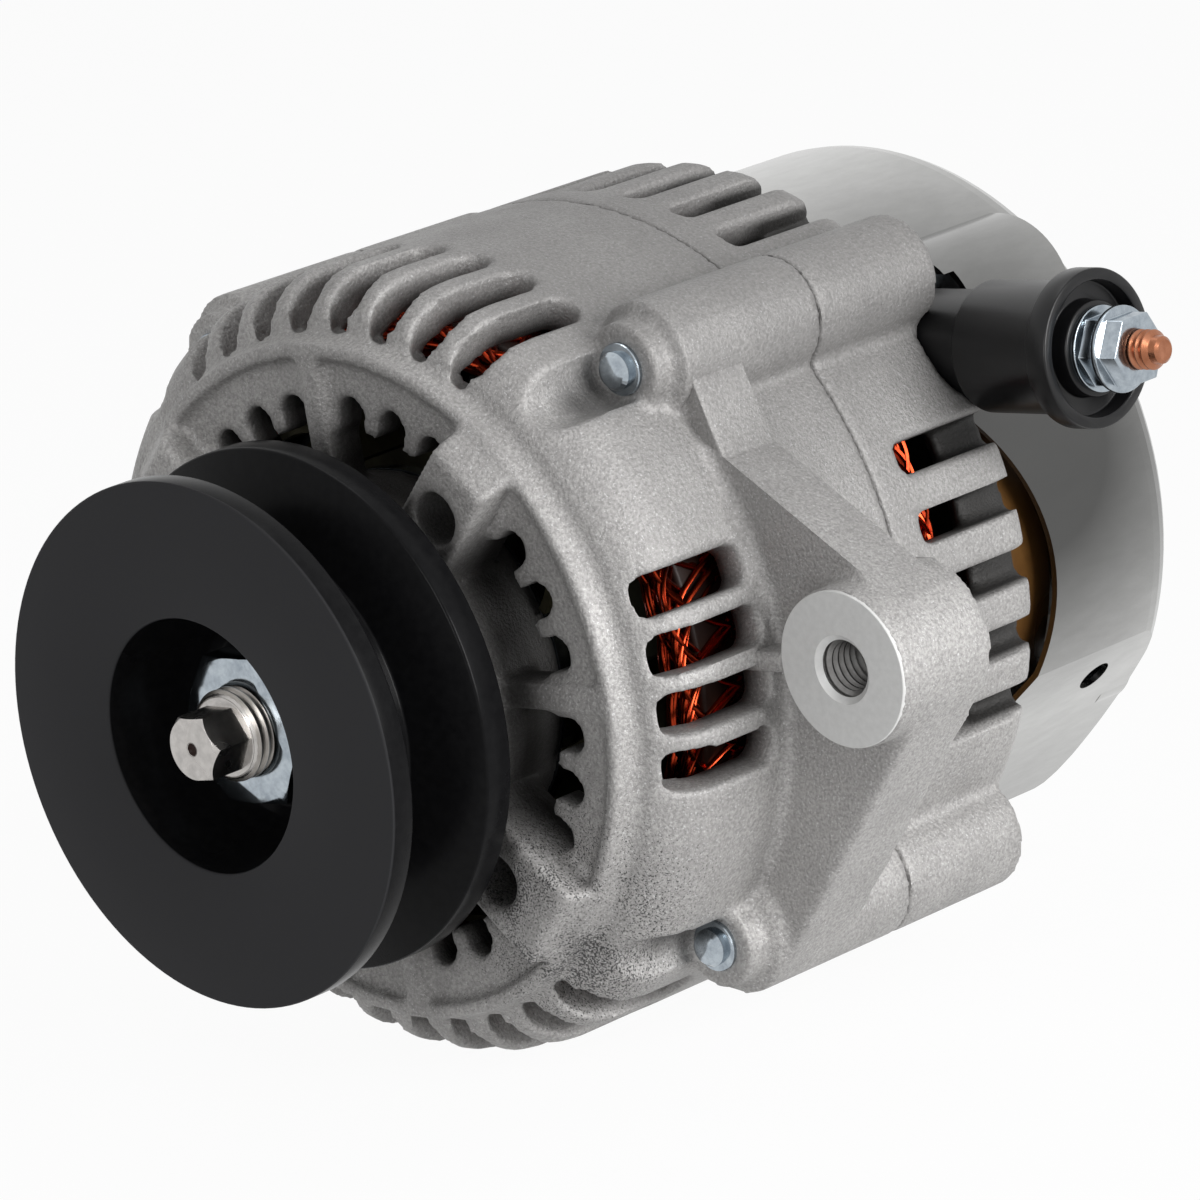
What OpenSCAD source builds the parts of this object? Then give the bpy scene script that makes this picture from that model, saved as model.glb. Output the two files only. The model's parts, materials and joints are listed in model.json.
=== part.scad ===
// Engine alternator with a V-belt pulley.
// The shaft runs along Y with the pulley towards -Y; the threaded ear is at +X and Z is up.
// The origin is on the shaft axis, in the middle plane of the belt groove.
// Sizes are in millimetres.

/* [Pulley] */
// Outer diameter of the pulley
pulley_od = 80; // [76:1:84]
// Width of the belt groove at the rim
groove_mouth = 15.2; // [14:0.2:16]
// Depth of the belt groove
groove_depth = 12; // [10:0.5:13]
// Radius of the recess around the nut
recess_r = 19.4; // [18:0.2:20.4]

/* [Body] */
// Outer radius of both brackets
body_r = 61; // [60.5:0.5:62]
// Length of the stator stack
stack_len = 31; // [29:1:35]
// Radius of the through-bolt circle
bolt_circle_r = 62; // [61.5:0.5:63]
// Air gap between the rotor and the stator
air_gap = 0.4; // [0.3:0.05:0.6]
// Number of blades on each fan
fan_blades = 9; // [7:1:10]

/* [Mounting] */
// Distance of the threaded ear from the shaft axis
ear_reach = 77.8; // [76.5:0.1:80]
// Radius of the ear's tapped hole at the thread crests
ear_thread_r = 4.25; // [3.4:0.05:5.1]
// Distance of the pivot lugs from the shaft axis
pivot_reach = 78; // [77:0.5:80]
// Radius of the pivot bore
pivot_r = 5.2; // [4.2:0.1:5.6]

/* [Terminal] */
// Height of the output stud above the shaft axis
stud_height = 31.3; // [30.8:0.1:31.6]
// Distance of the stud tip from the shaft axis
stud_tip = 91; // [90:0.5:96]

/* [Cover] */
// Outer radius of the rear cover
cover_r = 54.5; // [54:0.25:55.5]
// Length of the rear cover
cover_len = 41; // [40:1:46]
// Sheet thickness of the rear cover
cover_wall = 1; // [0.8:0.1:1.4]

/* [Clearances] */
// Radial play of the bearing balls
ball_play = 0.05; // [0.03:0.01:0.08]
// Play of a brush in its holder, on each side
brush_play = 0.08; // [0.04:0.01:0.1]
// Play between a bearing seal and the inner race
seal_play = 0.09; // [0.05:0.01:0.1]

/* [Hidden] */
$fn = 72;

// Pulley stations along the shaft.
front_rim = 4;
rear_rim = 4.8;
pulley_front = -groove_mouth / 2 - front_rim;
pulley_rear = groove_mouth / 2 + rear_rim;
pulley_r = pulley_od / 2;
groove_slope = tan(18);
groove_floor = groove_mouth / 2 - groove_depth * groove_slope;
nut_seat = pulley_front + 16.5;
nut_h = 8.1;
nut_flats = 22;

// Bearings: bore radius, outer radius, length, ball pitch radius, ball radius, ball count.
front_brg = [8.5, 23.5, 14, 16, 4.3, 7];
rear_brg = [7.5, 17.5, 11, 12.5, 3, 8];
seal_t = 0.8;
seal_inset = 0.6;

// Drive-end bracket stations.
hub_front = pulley_rear + 5;
front_brg_z = hub_front + 2.6;
front_brg_end = front_brg_z + front_brg[2];
hub_r = 30;
hub_bore_r = 14;
ring_front = pulley_rear + 9;
ring_in_r = 50;
ring_out_r = 52.1;
pad_front = ring_front - 4.4;
pad_hole_at = 38.2;
pad_hole_r = 4;
spoke_w = 4.2;
comb_front = ring_front + 1.6;
comb_rear = ring_front + 7.1;
pad_rear = comb_rear + 0.8;
comb_tip_r = 39;
comb_root_r = 44.1;
comb_slot_w = 5.2;
shoulder_z = ring_front + 14;
shoulder_r = 8;
wall_in_r = 54.8;
bolt_seat = ring_front + 21.5;
ear_front = ring_front + 22;
ear_rear = ring_front + 41;
web_front = ring_front + 27;
stack_front = ring_front + 29;
vent_end = ring_front + 26;

// Stator and slip-ring-end bracket stations.
stack_r = 57;
stack_rear = stack_front + stack_len;
parting = stack_rear - 5;
rear_vent_start = stack_rear + 1.8;
rear_vent_end = stack_rear + 14.7;
rib_base_r = 56;
body_rear = stack_rear + 25;
end_plate_t = 4;
rear_brg_z = body_rear - 14;
rear_brg_end = rear_brg_z + rear_brg[2];
boss_r = 9;
boss_rear = stack_rear + 21;
bolt_r = 2.5;
bolt_head_r = 4;
bolt_head_h = 4;
bolt_angles = [45, 135, -45, -135];
pivot_lug_r = 12;
rear_lug = [stack_rear + 1, stack_rear + 15];
bushing_wall = 2.3;

// Rotor.
rotor_r = 44.1 - air_gap;
rotor_front = stack_front - 5;
rotor_rear = stack_rear + 5;
pole_disc = 9;
core_r = 24;
coil_r = 35;
shaft_body_r = 9.5;
collar_r = 11.5;
claw_root = 13;
claw_tip = 4.2;
claw_short = 2.4;
fan_plate = 1.5;
slip_r = 8;
slip_core_r = 6;
slip_w = 7;
slip_front = body_rear + 3.1;
slip_gap = 3;
shaft_end = slip_front + 2 * slip_w + slip_gap + 5;

// Windings.
stator_bore = 44.1;
slot_in_r = 45.6;
slot_out_r = 53;
slot_w = 3.4;
slot_count = 36;
turns_in_r = 46.5;
turns_out_r = 53.6;
front_turns = stack_front - 17;
rear_turns = stack_rear + 14;

// Rear compartment.
cover_rear = body_rear + cover_len;
cover_flat = 50.8;
cover_flat_angle = -46;
stud_circle_r = 43;
stud_angles = [78, -42, -162];
cover_stud_r = 2.5;
well_r = 8;
well_depth = 6;
rect_start = 62;
rect_sweep = 238;
neg_t = 3;
web_z = body_rear + 9.6;
web_t = 2;
pos_t = 3.5;
pos_z = web_z + web_t;
rect_wall_in = 48;
rect_wall_out = 49.4;
regulator_angle = 150;

// Brushes: width along the shaft, width across it, length.
brush = [4.5, 6.5, 14];
brush_gap = 0.05;
holder_top = 36.5;
holder_bottom = 9.6;
brush_front_z = slip_front + slip_w / 2;
brush_rear_z = brush_front_z + slip_w + slip_gap;
spring_r = 1.9;
spring_wire = 0.7;
spring_turns = 5;

// Output terminal, on an axis along X.
stud_z = body_rear + 1;
stud_r = 3;
stud_pitch_r = 2.7;
terminal_nut_h = 5.6;
nut_flange_r = 6.5;
neck_r = 8.5;
neck_start = 36;
shroud_r = 10;
shroud_start = 57.6;
flange_start = 74;
flange_r = 12;
flange_end = 78;
strap_t = 2.6;

// Turns a model whose shaft runs along its own Z into the shared frame.
module shaft_frame() {
    rotate([-90, 0, 0]) children();
}

// Turns to an angle measured from +X towards +Z in the shared frame.
module turn(a) {
    rotate([0, 0, -a]) children();
}

module spot(r, a, z) {
    turn(a) translate([r, 0, z]) children();
}

module rod(r, z0, z1) {
    translate([0, 0, z0]) cylinder(r = r, h = z1 - z0);
}

module tube(r_in, r_out, z0, z1) {
    difference() {
        rod(r_out, z0, z1);
        rod(r_in, z0 - 1, z1 + 1);
    }
}

// A rod along the radial direction.
module radial_rod(r, x0, x1) {
    translate([x0, 0, 0]) rotate([0, 90, 0]) cylinder(r = r, h = x1 - x0);
}

module block(x, y, z) {
    translate([x[0], y[0], z[0]]) cube([x[1] - x[0], y[1] - y[0], z[1] - z[0]]);
}

module hexagon(flats, z0, z1) {
    translate([0, 0, z0]) cylinder(r = flats / 2 / cos(30), h = z1 - z0, $fn = 6);
}

function place(r, a) = [r * cos(a), -r * sin(a)];

// Tangent points of two circles, for the straight flanks between two bosses.
function flank(p, rp, q, rq) =
    let (d = norm(q - p), f = atan2(q[1] - p[1], q[0] - p[0]), b = acos((rp - rq) / d))
    [
        p + rp * [cos(f + b), sin(f + b)],
        q + rq * [cos(f + b), sin(f + b)],
        q + rq * [cos(f - b), sin(f - b)],
        p + rp * [cos(f - b), sin(f - b)]
    ];

module tie(p, rp, q, rq, z0, z1) {
    translate([p[0], p[1], 0]) rod(rp, z0, z1);
    translate([q[0], q[1], 0]) rod(rq, z0, z1);
    translate([0, 0, z0]) linear_extrude(z1 - z0) polygon(flank(p, rp, q, rq));
}

// Outline of a window of width w between two stations, its corners rounded with radius c.
function window(w, c, z0, z1) = [
    for (i = [0:3], t = [0:30:90])
        [
            (i == 0 || i == 3 ? 1 : -1) * (w / 2 - c) + c * cos(90 * i + t),
            (i < 2 ? z1 - c : z0 + c) + c * sin(90 * i + t)
        ]
];

// A radial window with rounded corners, cut outwards from a radius.
module vent(r0, w, c, z0, z1) {
    translate([r0, 0, 0]) rotate([90, 0, 90]) linear_extrude(30) polygon(window(w, c, z0, z1));
}

function shoulder() = [
    for (i = [0:5]) let (t = 90 - 18 * i)
        [body_r - shoulder_r + shoulder_r * cos(t), shoulder_z - 10.4 * sin(t)]
];

module front_shell() {
    rotate_extrude() polygon(concat(
        [[ring_in_r, comb_front], [ring_in_r, ring_front], [ring_out_r, ring_front]],
        shoulder(),
        [
            [body_r, parting + 1], [wall_in_r, parting + 1], [wall_in_r, shoulder_z - 1.4],
            [ring_out_r - 0.6, comb_rear], [comb_tip_r, comb_rear], [comb_tip_r, comb_front]
        ]
    ));
}

vent_pitch = 8.9;
vent_w = 5.8;
vent_corner = 2.5;
end_ease = 0.12;
side_pitch = 8.7;
side_vent_w = 6.2;
side_corner = 1.8;
side_centre = 1;

module front_vents() {
    for (a = [90, -90], k = [-3.5:1:3.5])
        turn(a + k * vent_pitch)
            vent(ring_out_r, vent_w, vent_corner, ring_front + 3.7, vent_end);
    for (a = [side_centre, 180 - side_centre], k = [-1.5:1:1.5])
        turn(a + k * side_pitch)
            vent(ring_out_r, side_vent_w, side_corner, ring_front + 5.1, vent_end - 1.5);
}

module comb_slots() {
    for (a = [0, 90, 180, 270], k = [-31.5, -20, -8.5, 8.5, 20, 31.5]) turn(a + k) {
        block([comb_tip_r - 2, comb_root_r - comb_slot_w / 2],
            [-comb_slot_w / 2, comb_slot_w / 2], [comb_front - 1, comb_rear + 1]);
        translate([comb_root_r - comb_slot_w / 2, 0, 0])
            rod(comb_slot_w / 2 + end_ease, comb_front - 1, comb_rear + 1);
    }
}

// A raised pad between the hub and the ring, with a sloped outer end.
module pad(w, r_out) {
    rotate([90, 0, 0]) translate([0, 0, -w / 2]) linear_extrude(w) polygon([
        [hub_r - 4, pad_front], [r_out, pad_front], [ring_in_r + 0.8, ring_front - 0.6],
        [ring_in_r + 0.8, pad_rear], [hub_r - 4, pad_rear]
    ]);
}

module drive_end_bracket() {
    color("silver") shaft_frame() difference() {
        union() {
            difference() {
                front_shell();
                front_vents();
                comb_slots();
            }
            rod(hub_r, hub_front, front_brg_end);
            for (a = [46, 136]) turn(a) pad(11.6, ring_in_r - 2.4);
            for (a = [-44, -136]) turn(a) pad(15.4, ring_in_r - 0.4);
            for (a = bolt_angles) {
                spot(bolt_circle_r, a, 0) rod(6.8, bolt_seat, web_front + 1);
                spot(bolt_circle_r, a, 0) rod(boss_r, bolt_seat + 4, parting + 1);
            }
            for (a = [0, 90, 180, 270])
                turn(a) block([hub_r - 4, ring_in_r + 0.5], [-spoke_w / 2, spoke_w / 2],
                    [ring_front, comb_rear]);
            for (a = [45, -45])
                tie(place(bolt_circle_r, a), boss_r, [ear_reach, 0], pivot_lug_r,
                    web_front, ear_rear);
            for (a = [135, -135])
                tie(place(bolt_circle_r, a), boss_r, [-pivot_reach, 0], pivot_lug_r,
                    web_front, ear_rear);
            translate([ear_reach, 0, 0]) rod(pivot_lug_r, ear_front, web_front + 1);
        }
        for (a = [46, 136, -46, -136])
            spot(pad_hole_at, a, 0) rod(pad_hole_r, pad_front - 1, comb_rear + 1);
        rod(hub_bore_r, hub_front - 1, front_brg_z + 1);
        rod(front_brg[1], front_brg_z, front_brg_end + 1);
        rod(wall_in_r, shoulder_z, stack_front + 1);
        rod(stack_r, stack_front, parting + 2);
        rod(body_r + 25, parting, parting + 3);
        for (a = bolt_angles) {
            spot(bolt_circle_r, a, 0) rod(5.3, ring_front - 1, bolt_seat);
            spot(bolt_circle_r, a, 0) rod(bolt_r + 0.2, bolt_seat - 1, parting + 1);
        }
        translate([ear_reach, 0, 0]) rod(ear_thread_r, ear_front - 1, ear_rear + 1);
        translate([ear_reach, 0, 0]) rod(ear_thread_r + 0.7, ear_front - 1, ear_front + 1.4);
        translate([-pivot_reach, 0, 0]) rod(pivot_r, web_front - 1, ear_rear + 1);
        for (a = retainer_angles) spot(retainer_r, a, 0) rod(screw_r, front_brg_end - 8, front_brg_end + 1);
    }
}

rear_pitch = 10.3;
rear_top_pitch = 9.4;
rear_side_centre = -1.35;

module rear_channel() {
    block([rib_base_r, body_r + 9], [-2.5, 2.5], [rear_vent_start, body_rear + 1]);
    block([wall_in_r - 5, rib_base_r + 1], [-2.5, 2.5], [rear_vent_start, rear_vent_end]);
}

module rear_shell() {
    rotate_extrude() polygon([
        [wall_in_r, parting - 1], [body_r, parting - 1], [body_r, body_rear - 4.5],
        [body_r - 0.7, body_rear - 2.2], [body_r - 2.2, body_rear - 0.7],
        [body_r - 4.5, body_rear], [rear_brg[1] - 5, body_rear],
        [rear_brg[1] - 5, rear_brg_end], [rear_brg[1], rear_brg_end],
        [rear_brg[1], rear_brg_z], [rear_brg[1] + 4, rear_brg_z],
        [rear_brg[1] + 4, body_rear - end_plate_t], [wall_in_r - 3, body_rear - end_plate_t],
        [wall_in_r - 3, rear_vent_end + 2.3], [wall_in_r, rear_vent_end + 0.8]
    ]);
}

module rear_bracket() {
    color("silver") shaft_frame() difference() {
        union() {
            difference() {
                rear_shell();
                for (a = [rear_side_centre, 180 - rear_side_centre], k = [-2:2])
                    turn(a + k * rear_pitch) rear_channel();
                for (a = [90, -90], k = [-3:3])
                    turn(a + k * rear_top_pitch) rear_channel();
                for (k = [0:8]) spot(33, 98 + 40 * k, 0)
                    rod(6, body_rear - end_plate_t - 1, body_rear + 1);
            }
            for (a = bolt_angles) spot(bolt_circle_r, a, 0) rod(boss_r, parting - 1, boss_rear);
            for (a = stud_angles) spot(stud_circle_r, a, 0)
                rod(5.5, rear_turns + 2, body_rear - end_plate_t + 1);
            for (a = [135, -135])
                tie(place(bolt_circle_r, a), boss_r, [-pivot_reach, 0], pivot_lug_r,
                    rear_lug[0], rear_lug[1]);
        }
        rod(stack_r, parting - 2, stack_rear);
        rod(wall_in_r, stack_rear - 1, rear_vent_end + 0.4);
        rod(body_r + 25, parting - 3, parting);
        for (a = bolt_angles) spot(bolt_circle_r, a, 0) rod(bolt_r, parting - 1, boss_rear - 2);
        for (a = stud_angles) spot(stud_circle_r, a, 0)
            rod(cover_stud_r, rear_turns + 1, body_rear + 1);
        translate([-pivot_reach, 0, 0])
            rod(pivot_r + bushing_wall, rear_lug[0] - 1, rear_lug[1] + 1);
        for (a = lead_angles) spot(lead_r, a, 0) rod(2.4, rear_turns, body_rear + 1);
        for (s = [-1, 1]) translate([s * 5.5, -29, 0])
            rod(holder_screw_r, body_rear - end_plate_t - 1, body_rear + 1);
        stud_axis() radial_rod(neck_r, neck_start - 6.5, body_r + 9);
        stud_axis() radial_rod(shroud_r + 0.2, shroud_start - 0.4, body_r + 9);
    }
}

module stud_axis() {
    translate([0, -stud_height, stud_z]) children();
}

module pulley() {
    color("#1c1c1e") shaft_frame() rotate_extrude() polygon([
        [front_brg[0], nut_seat], [14, nut_seat], [15.6, nut_seat - 1.2],
        [17.2, nut_seat - 4.2], [recess_r - 1.1, nut_seat - 8.5],
        [recess_r - 0.3, nut_seat - 12.5], [recess_r, pulley_front],
        [pulley_r - 0.5, pulley_front], [pulley_r, pulley_front + 0.5],
        [pulley_r, -groove_mouth / 2],
        [pulley_r - groove_depth, -groove_floor], [pulley_r - groove_depth, groove_floor],
        [pulley_r, groove_mouth / 2], [pulley_r, pulley_rear - 0.5],
        [pulley_r - 0.5, pulley_rear], [24, pulley_rear], [23, pulley_rear - 3],
        [15, pulley_rear - 3], [14, pulley_rear], [front_brg[0], pulley_rear]
    ]);
}

module pulley_nut() {
    color("#c8d0d8") shaft_frame() difference() {
        intersection() {
            hexagon(nut_flats, nut_seat - nut_h, nut_seat);
            translate([0, 0, nut_seat - nut_h])
                cylinder(r1 = nut_flats / 2, r2 = nut_flats / 2 + 2 * nut_h, h = nut_h);
        }
        rod(thread_r, nut_seat - nut_h - 1, nut_seat + 1);
    }
}

thread_r = 7;
hex_flats = 9.3;
hex_len = 6.5;
shaft_tip = pulley_front - 1.45;

module rotor_shaft() {
    color("#a8a49c") shaft_frame() difference() {
        union() {
            intersection() {
                hexagon(hex_flats, shaft_tip, shaft_tip + hex_len + 1);
                translate([0, 0, shaft_tip])
                    cylinder(r1 = hex_flats / 2, r2 = hex_flats / 2 + hex_len + 1, h = hex_len + 1);
            }
            translate([0, 0, shaft_tip + hex_len]) cylinder(r1 = thread_r - 1, r2 = thread_r, h = 1);
            rod(thread_r, shaft_tip + hex_len + 1, nut_seat);
            rod(front_brg[0], nut_seat, front_brg_end);
            rod(collar_r, front_brg_end, rotor_front);
            rod(shaft_body_r, rotor_front, rotor_rear);
            rod(shaft_body_r - 1, rotor_rear, rear_brg_z);
            rod(rear_brg[0], rear_brg_z, rear_brg_end);
            rod(slip_core_r, rear_brg_end, shaft_end);
        }
        translate([0, 0, shaft_tip - 0.01]) cylinder(r1 = 1, r2 = 0.3, h = 1.6);
    }
}

module spacer_collar() {
    color("#b4b4b4") shaft_frame() tube(front_brg[0], 12.5, pulley_rear, front_brg_z);
}

function race_in(b) = b[3] - 0.65 * b[4];
function race_out(b) = b[3] + 0.65 * b[4];

module raceway(b, z0) {
    translate([0, 0, z0 + b[2] / 2]) rotate_extrude()
        translate([b[3], 0]) circle(r = b[4] + ball_play);
}

module outer_race(b, z0) {
    difference() {
        tube(race_out(b), b[1], z0, z0 + b[2]);
        raceway(b, z0);
    }
}

module inner_race(b, z0) {
    difference() {
        tube(b[0], race_in(b), z0, z0 + b[2]);
        raceway(b, z0);
    }
}

module balls(b, z0) {
    for (i = [0:b[5] - 1]) spot(b[3], i * 360 / b[5], z0 + b[2] / 2) sphere(r = b[4], $fn = 32);
}

module cage(b, z0) {
    difference() {
        tube(b[3] - 0.6, b[3] + 0.6, z0 + b[2] / 2 - b[4] * 0.8, z0 + b[2] / 2 + b[4] * 0.8);
        balls(b, z0);
    }
}

module seals(b, z0) {
    for (z = [z0 + seal_inset, z0 + b[2] - seal_inset - seal_t])
        tube(race_in(b) + seal_play, race_out(b), z, z + seal_t);
}

module front_outer_race() { color("#b8bcc0") shaft_frame() outer_race(front_brg, front_brg_z); }

module front_inner_race() { color("#b8bcc0") shaft_frame() inner_race(front_brg, front_brg_z); }

module front_balls() { color("#d0d4d8") shaft_frame() balls(front_brg, front_brg_z); }

module front_cage() { color("#c0b070") shaft_frame() cage(front_brg, front_brg_z); }

module front_seals() { color("#303030") shaft_frame() seals(front_brg, front_brg_z); }

module rear_outer_race() { color("#b8bcc0") shaft_frame() outer_race(rear_brg, rear_brg_z); }

module rear_inner_race() { color("#b8bcc0") shaft_frame() inner_race(rear_brg, rear_brg_z); }

module rear_balls() { color("#d0d4d8") shaft_frame() balls(rear_brg, rear_brg_z); }

module rear_cage() { color("#c0b070") shaft_frame() cage(rear_brg, rear_brg_z); }

module rear_seals() { color("#303030") shaft_frame() seals(rear_brg, rear_brg_z); }

retainer_t = 2;
retainer_r = 26.75;
retainer_angles = [20, 110, 200, 290];
screw_r = 2;

module retainer_plate() {
    color("#c0c4c0") shaft_frame() difference() {
        tube(collar_r + 5.5, hub_r, front_brg_end, front_brg_end + retainer_t);
        for (a = retainer_angles) spot(retainer_r, a, 0)
            rod(screw_r, front_brg_end - 1, front_brg_end + retainer_t + 1);
    }
}

module retainer_screws() {
    color("#c8ccc8") shaft_frame() for (a = retainer_angles) spot(retainer_r, a, 0) {
        rod(screw_r, front_brg_end - 8, front_brg_end + retainer_t);
        difference() {
            rod(3.2, front_brg_end + retainer_t, front_brg_end + retainer_t + 2.2);
            for (t = [0, 90]) rotate([0, 0, t])
                block([-2, 2], [-0.4, 0.4], [front_brg_end + retainer_t + 1, front_brg_end + 9]);
        }
    }
}

module slot_bars(r0, r1, z0, z1) {
    for (k = [0:slot_count - 1]) turn(k * 360 / slot_count)
        block([r0, r1], [-slot_w / 2, slot_w / 2], [z0, z1]);
}

module stator_core() {
    color("#6a6c70") shaft_frame() difference() {
        tube(stator_bore, stack_r, stack_front, stack_rear);
        slot_bars(stator_bore - 2, slot_out_r, stack_front - 1, stack_rear + 1);
    }
}

module end_turns(z0, z1) {
    c = 1.6;
    rotate_extrude() polygon([
        [turns_in_r + c, z0], [turns_out_r - c, z0], [turns_out_r, z0 + c],
        [turns_out_r, z1 - c], [turns_out_r - c, z1], [turns_in_r + c, z1],
        [turns_in_r, z1 - c], [turns_in_r, z0 + c]
    ]);
}

module stator_winding() {
    color("#b5651d") shaft_frame() {
        end_turns(front_turns, stack_front);
        end_turns(stack_rear, rear_turns);
        slot_bars(slot_in_r, slot_out_r, stack_front - 3, stack_rear + 3);
    }
}

lead_r = 46.7;
lead_angles = [-15, -75, -135];

module stator_leads() {
    color("#b5651d") shaft_frame() for (a = lead_angles) spot(lead_r, a, 0)
        rod(1.2, rear_turns - 0.15, web_z);
}

module through_bolts() {
    color("#c8ccd0") shaft_frame() for (a = bolt_angles) spot(bolt_circle_r, a, 0) {
        difference() {
            rod(bolt_head_r, bolt_seat - bolt_head_h, bolt_seat);
            hexagon(4, bolt_seat - bolt_head_h - 1, bolt_seat - 1.6);
        }
        rod(bolt_r, bolt_seat, boss_rear - 2);
    }
}

module claw_prisms(z0, z1) {
    for (k = [0:5]) turn(k * 60) translate([0, 0, z0]) rotate([90, 0, 90])
        linear_extrude(rotor_r + 3)
            polygon([[-claw_root, 0], [claw_root, 0], [claw_tip, z1 - z0], [-claw_tip, z1 - z0]]);
}

// One half of the claw-pole rotor, built with its disc at the low end.
module claw_pole(length) {
    disc_z = pole_disc;
    tip_z = length - claw_short;
    difference() {
        union() {
            rod(33, 0, disc_z);
            rod(core_r, 0, length / 2);
            intersection() {
                rotate_extrude() polygon([
                    [28, 0], [rotor_r - 1.2, 0], [rotor_r, 1.2], [rotor_r, tip_z],
                    [rotor_r - 2.8, tip_z], [coil_r + 1.5, disc_z], [28, disc_z]
                ]);
                claw_prisms(0, tip_z);
            }
        }
        rod(shaft_body_r, -1, length);
    }
}

module claw_pole_front() {
    color("#75777a") shaft_frame() translate([0, 0, rotor_front])
        claw_pole(rotor_rear - rotor_front);
}

module claw_pole_rear() {
    color("#75777a") shaft_frame() translate([0, 0, rotor_rear]) mirror([0, 0, 1]) turn(30)
        claw_pole(rotor_rear - rotor_front);
}

module coil_bobbin() {
    z0 = rotor_front + pole_disc;
    z1 = rotor_rear - pole_disc;
    color("#e0dcd0") shaft_frame() difference() {
        rod(coil_r + 0.6, z0, z1);
        rod(core_r, z0 - 1, z1 + 1);
        tube(core_r + 1.2, coil_r + 2, z0 + 1.2, z1 - 1.2);
    }
}

module field_coil() {
    color("#a8541c") shaft_frame()
        tube(core_r + 1.2, coil_r, rotor_front + pole_disc + 1.2, rotor_rear - pole_disc - 1.2);
}

fan_r = 41;
blade_pivot = 28;
blade_arc = 12.6;
blade_t = 1.3;

module blades(z0, z1) {
    for (k = [0:fan_blades - 1]) turn(k * 360 / fan_blades)
        translate([blade_pivot, 0, z0]) rotate_extrude(angle = 84)
            translate([blade_arc - blade_t, 0]) square([blade_t, z1 - z0]);
}

module front_fan() {
    color("#c9c3a6") shaft_frame() {
        tube(20, fan_r, rotor_front - fan_plate, rotor_front);
        blades(comb_rear + 3.5, rotor_front - fan_plate + 0.5);
    }
}

module rear_fan() {
    color("#c9c3a6") shaft_frame() {
        tube(20, fan_r, rotor_rear, rotor_rear + fan_plate);
        blades(rotor_rear + fan_plate - 0.5, rotor_rear + 8.5);
    }
}

module slip_rings() {
    color("#b87333") shaft_frame()
        for (z = [slip_front, slip_front + slip_w + slip_gap])
            tube(slip_core_r + 1.2, slip_r, z, z + slip_w);
}

module slip_ring_core() {
    color("#2a2624") shaft_frame() difference() {
        rod(slip_core_r + 1.2, rear_brg_end + 2, shaft_end - 2);
        rod(slip_core_r, rear_brg_end + 1, shaft_end);
    }
}

module pivot_bushing() {
    color("#b0b0b0") shaft_frame() translate([-pivot_reach, 0, 0])
        tube(pivot_r, pivot_r + bushing_wall, rear_lug[0] - 0.5, rear_lug[1] + 0.5);
}

// A body of revolution that covers only the rectifier's arc.
module rectifier_arc() {
    turn(rect_start) rotate_extrude(angle = rect_sweep) children();
}

module band(r0, r1, z0, z1) {
    translate([r0, z0]) square([r1 - r0, z1 - z0]);
}

module strap_slot() {
    block([neck_start - strap_t - 0.5, neck_start + 0.5],
        [-stud_height, -stud_height + 6.3], [web_z - 1, pos_z + pos_t + 1]);
}

module rectifier_insulator() {
    color("#4a2e14") shaft_frame() {
        difference() {
            rectifier_arc() {
                band(rect_wall_in, rect_wall_out, body_rear, pos_z + pos_t);
                band(30, rect_wall_in + 0.5, web_z, pos_z);
            }
            stud_axis() radial_rod(neck_r, neck_start - strap_t - 0.5, body_r);
            strap_slot();
            for (a = stud_angles) spot(stud_circle_r, a, 0) rod(cover_stud_r, web_z - 1, pos_z + 1);
        }
        for (a = [-42, -162]) spot(stud_circle_r, a, 0)
            tube(cover_stud_r, 4, pos_z, pos_z + pos_t + 1.5);
    }
}

module diode_spots(angles, r) {
    for (a = angles) spot(r, a, 0) children();
}

diode_r = 6.4;
neg_diode_angles = [8, -17, -67, -92, -117, -142];
pos_diode_angles = [10, -14, -66, -90, -114, -138];

module negative_plate() {
    color("#c4c6c8") shaft_frame() difference() {
        rectifier_arc() band(26, 45, body_rear, body_rear + neg_t);
        diode_spots(neg_diode_angles, 36) rod(diode_r, body_rear - 1, body_rear + neg_t + 1);
        for (a = [-42, -162]) spot(stud_circle_r, a, 0)
            rod(cover_stud_r, body_rear - 1, body_rear + neg_t + 1);
        stud_axis() radial_rod(neck_r + 0.5, neck_start - 7, body_r);
    }
}

module positive_plate() {
    color("#c4c6c8") shaft_frame() difference() {
        rectifier_arc() band(27, rect_wall_in, pos_z, pos_z + pos_t);
        diode_spots(pos_diode_angles, 36) rod(diode_r, pos_z - 1, pos_z + pos_t + 1);
        for (a = [-42, -162]) spot(stud_circle_r, a, 0) rod(4, pos_z - 1, pos_z + pos_t + 1);
    }
}

module negative_diodes() {
    color("#8e9094") shaft_frame() diode_spots(neg_diode_angles, 36) {
        rod(diode_r, body_rear, body_rear + neg_t + 2.5);
        rod(1, body_rear + neg_t + 2, web_z);
    }
}

module positive_diodes() {
    color("#8e9094") shaft_frame() diode_spots(pos_diode_angles, 36) {
        rod(diode_r, pos_z, pos_z + pos_t + 2.5);
        rod(1, pos_z + pos_t + 2, pos_z + pos_t + 8);
    }
}

well_floor = cover_rear - well_depth;

module cover_studs() {
    color("#c8ccd0") shaft_frame() for (a = stud_angles) spot(stud_circle_r, a, 0)
        rod(cover_stud_r, rear_turns + 3, cover_rear);
}

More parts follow.
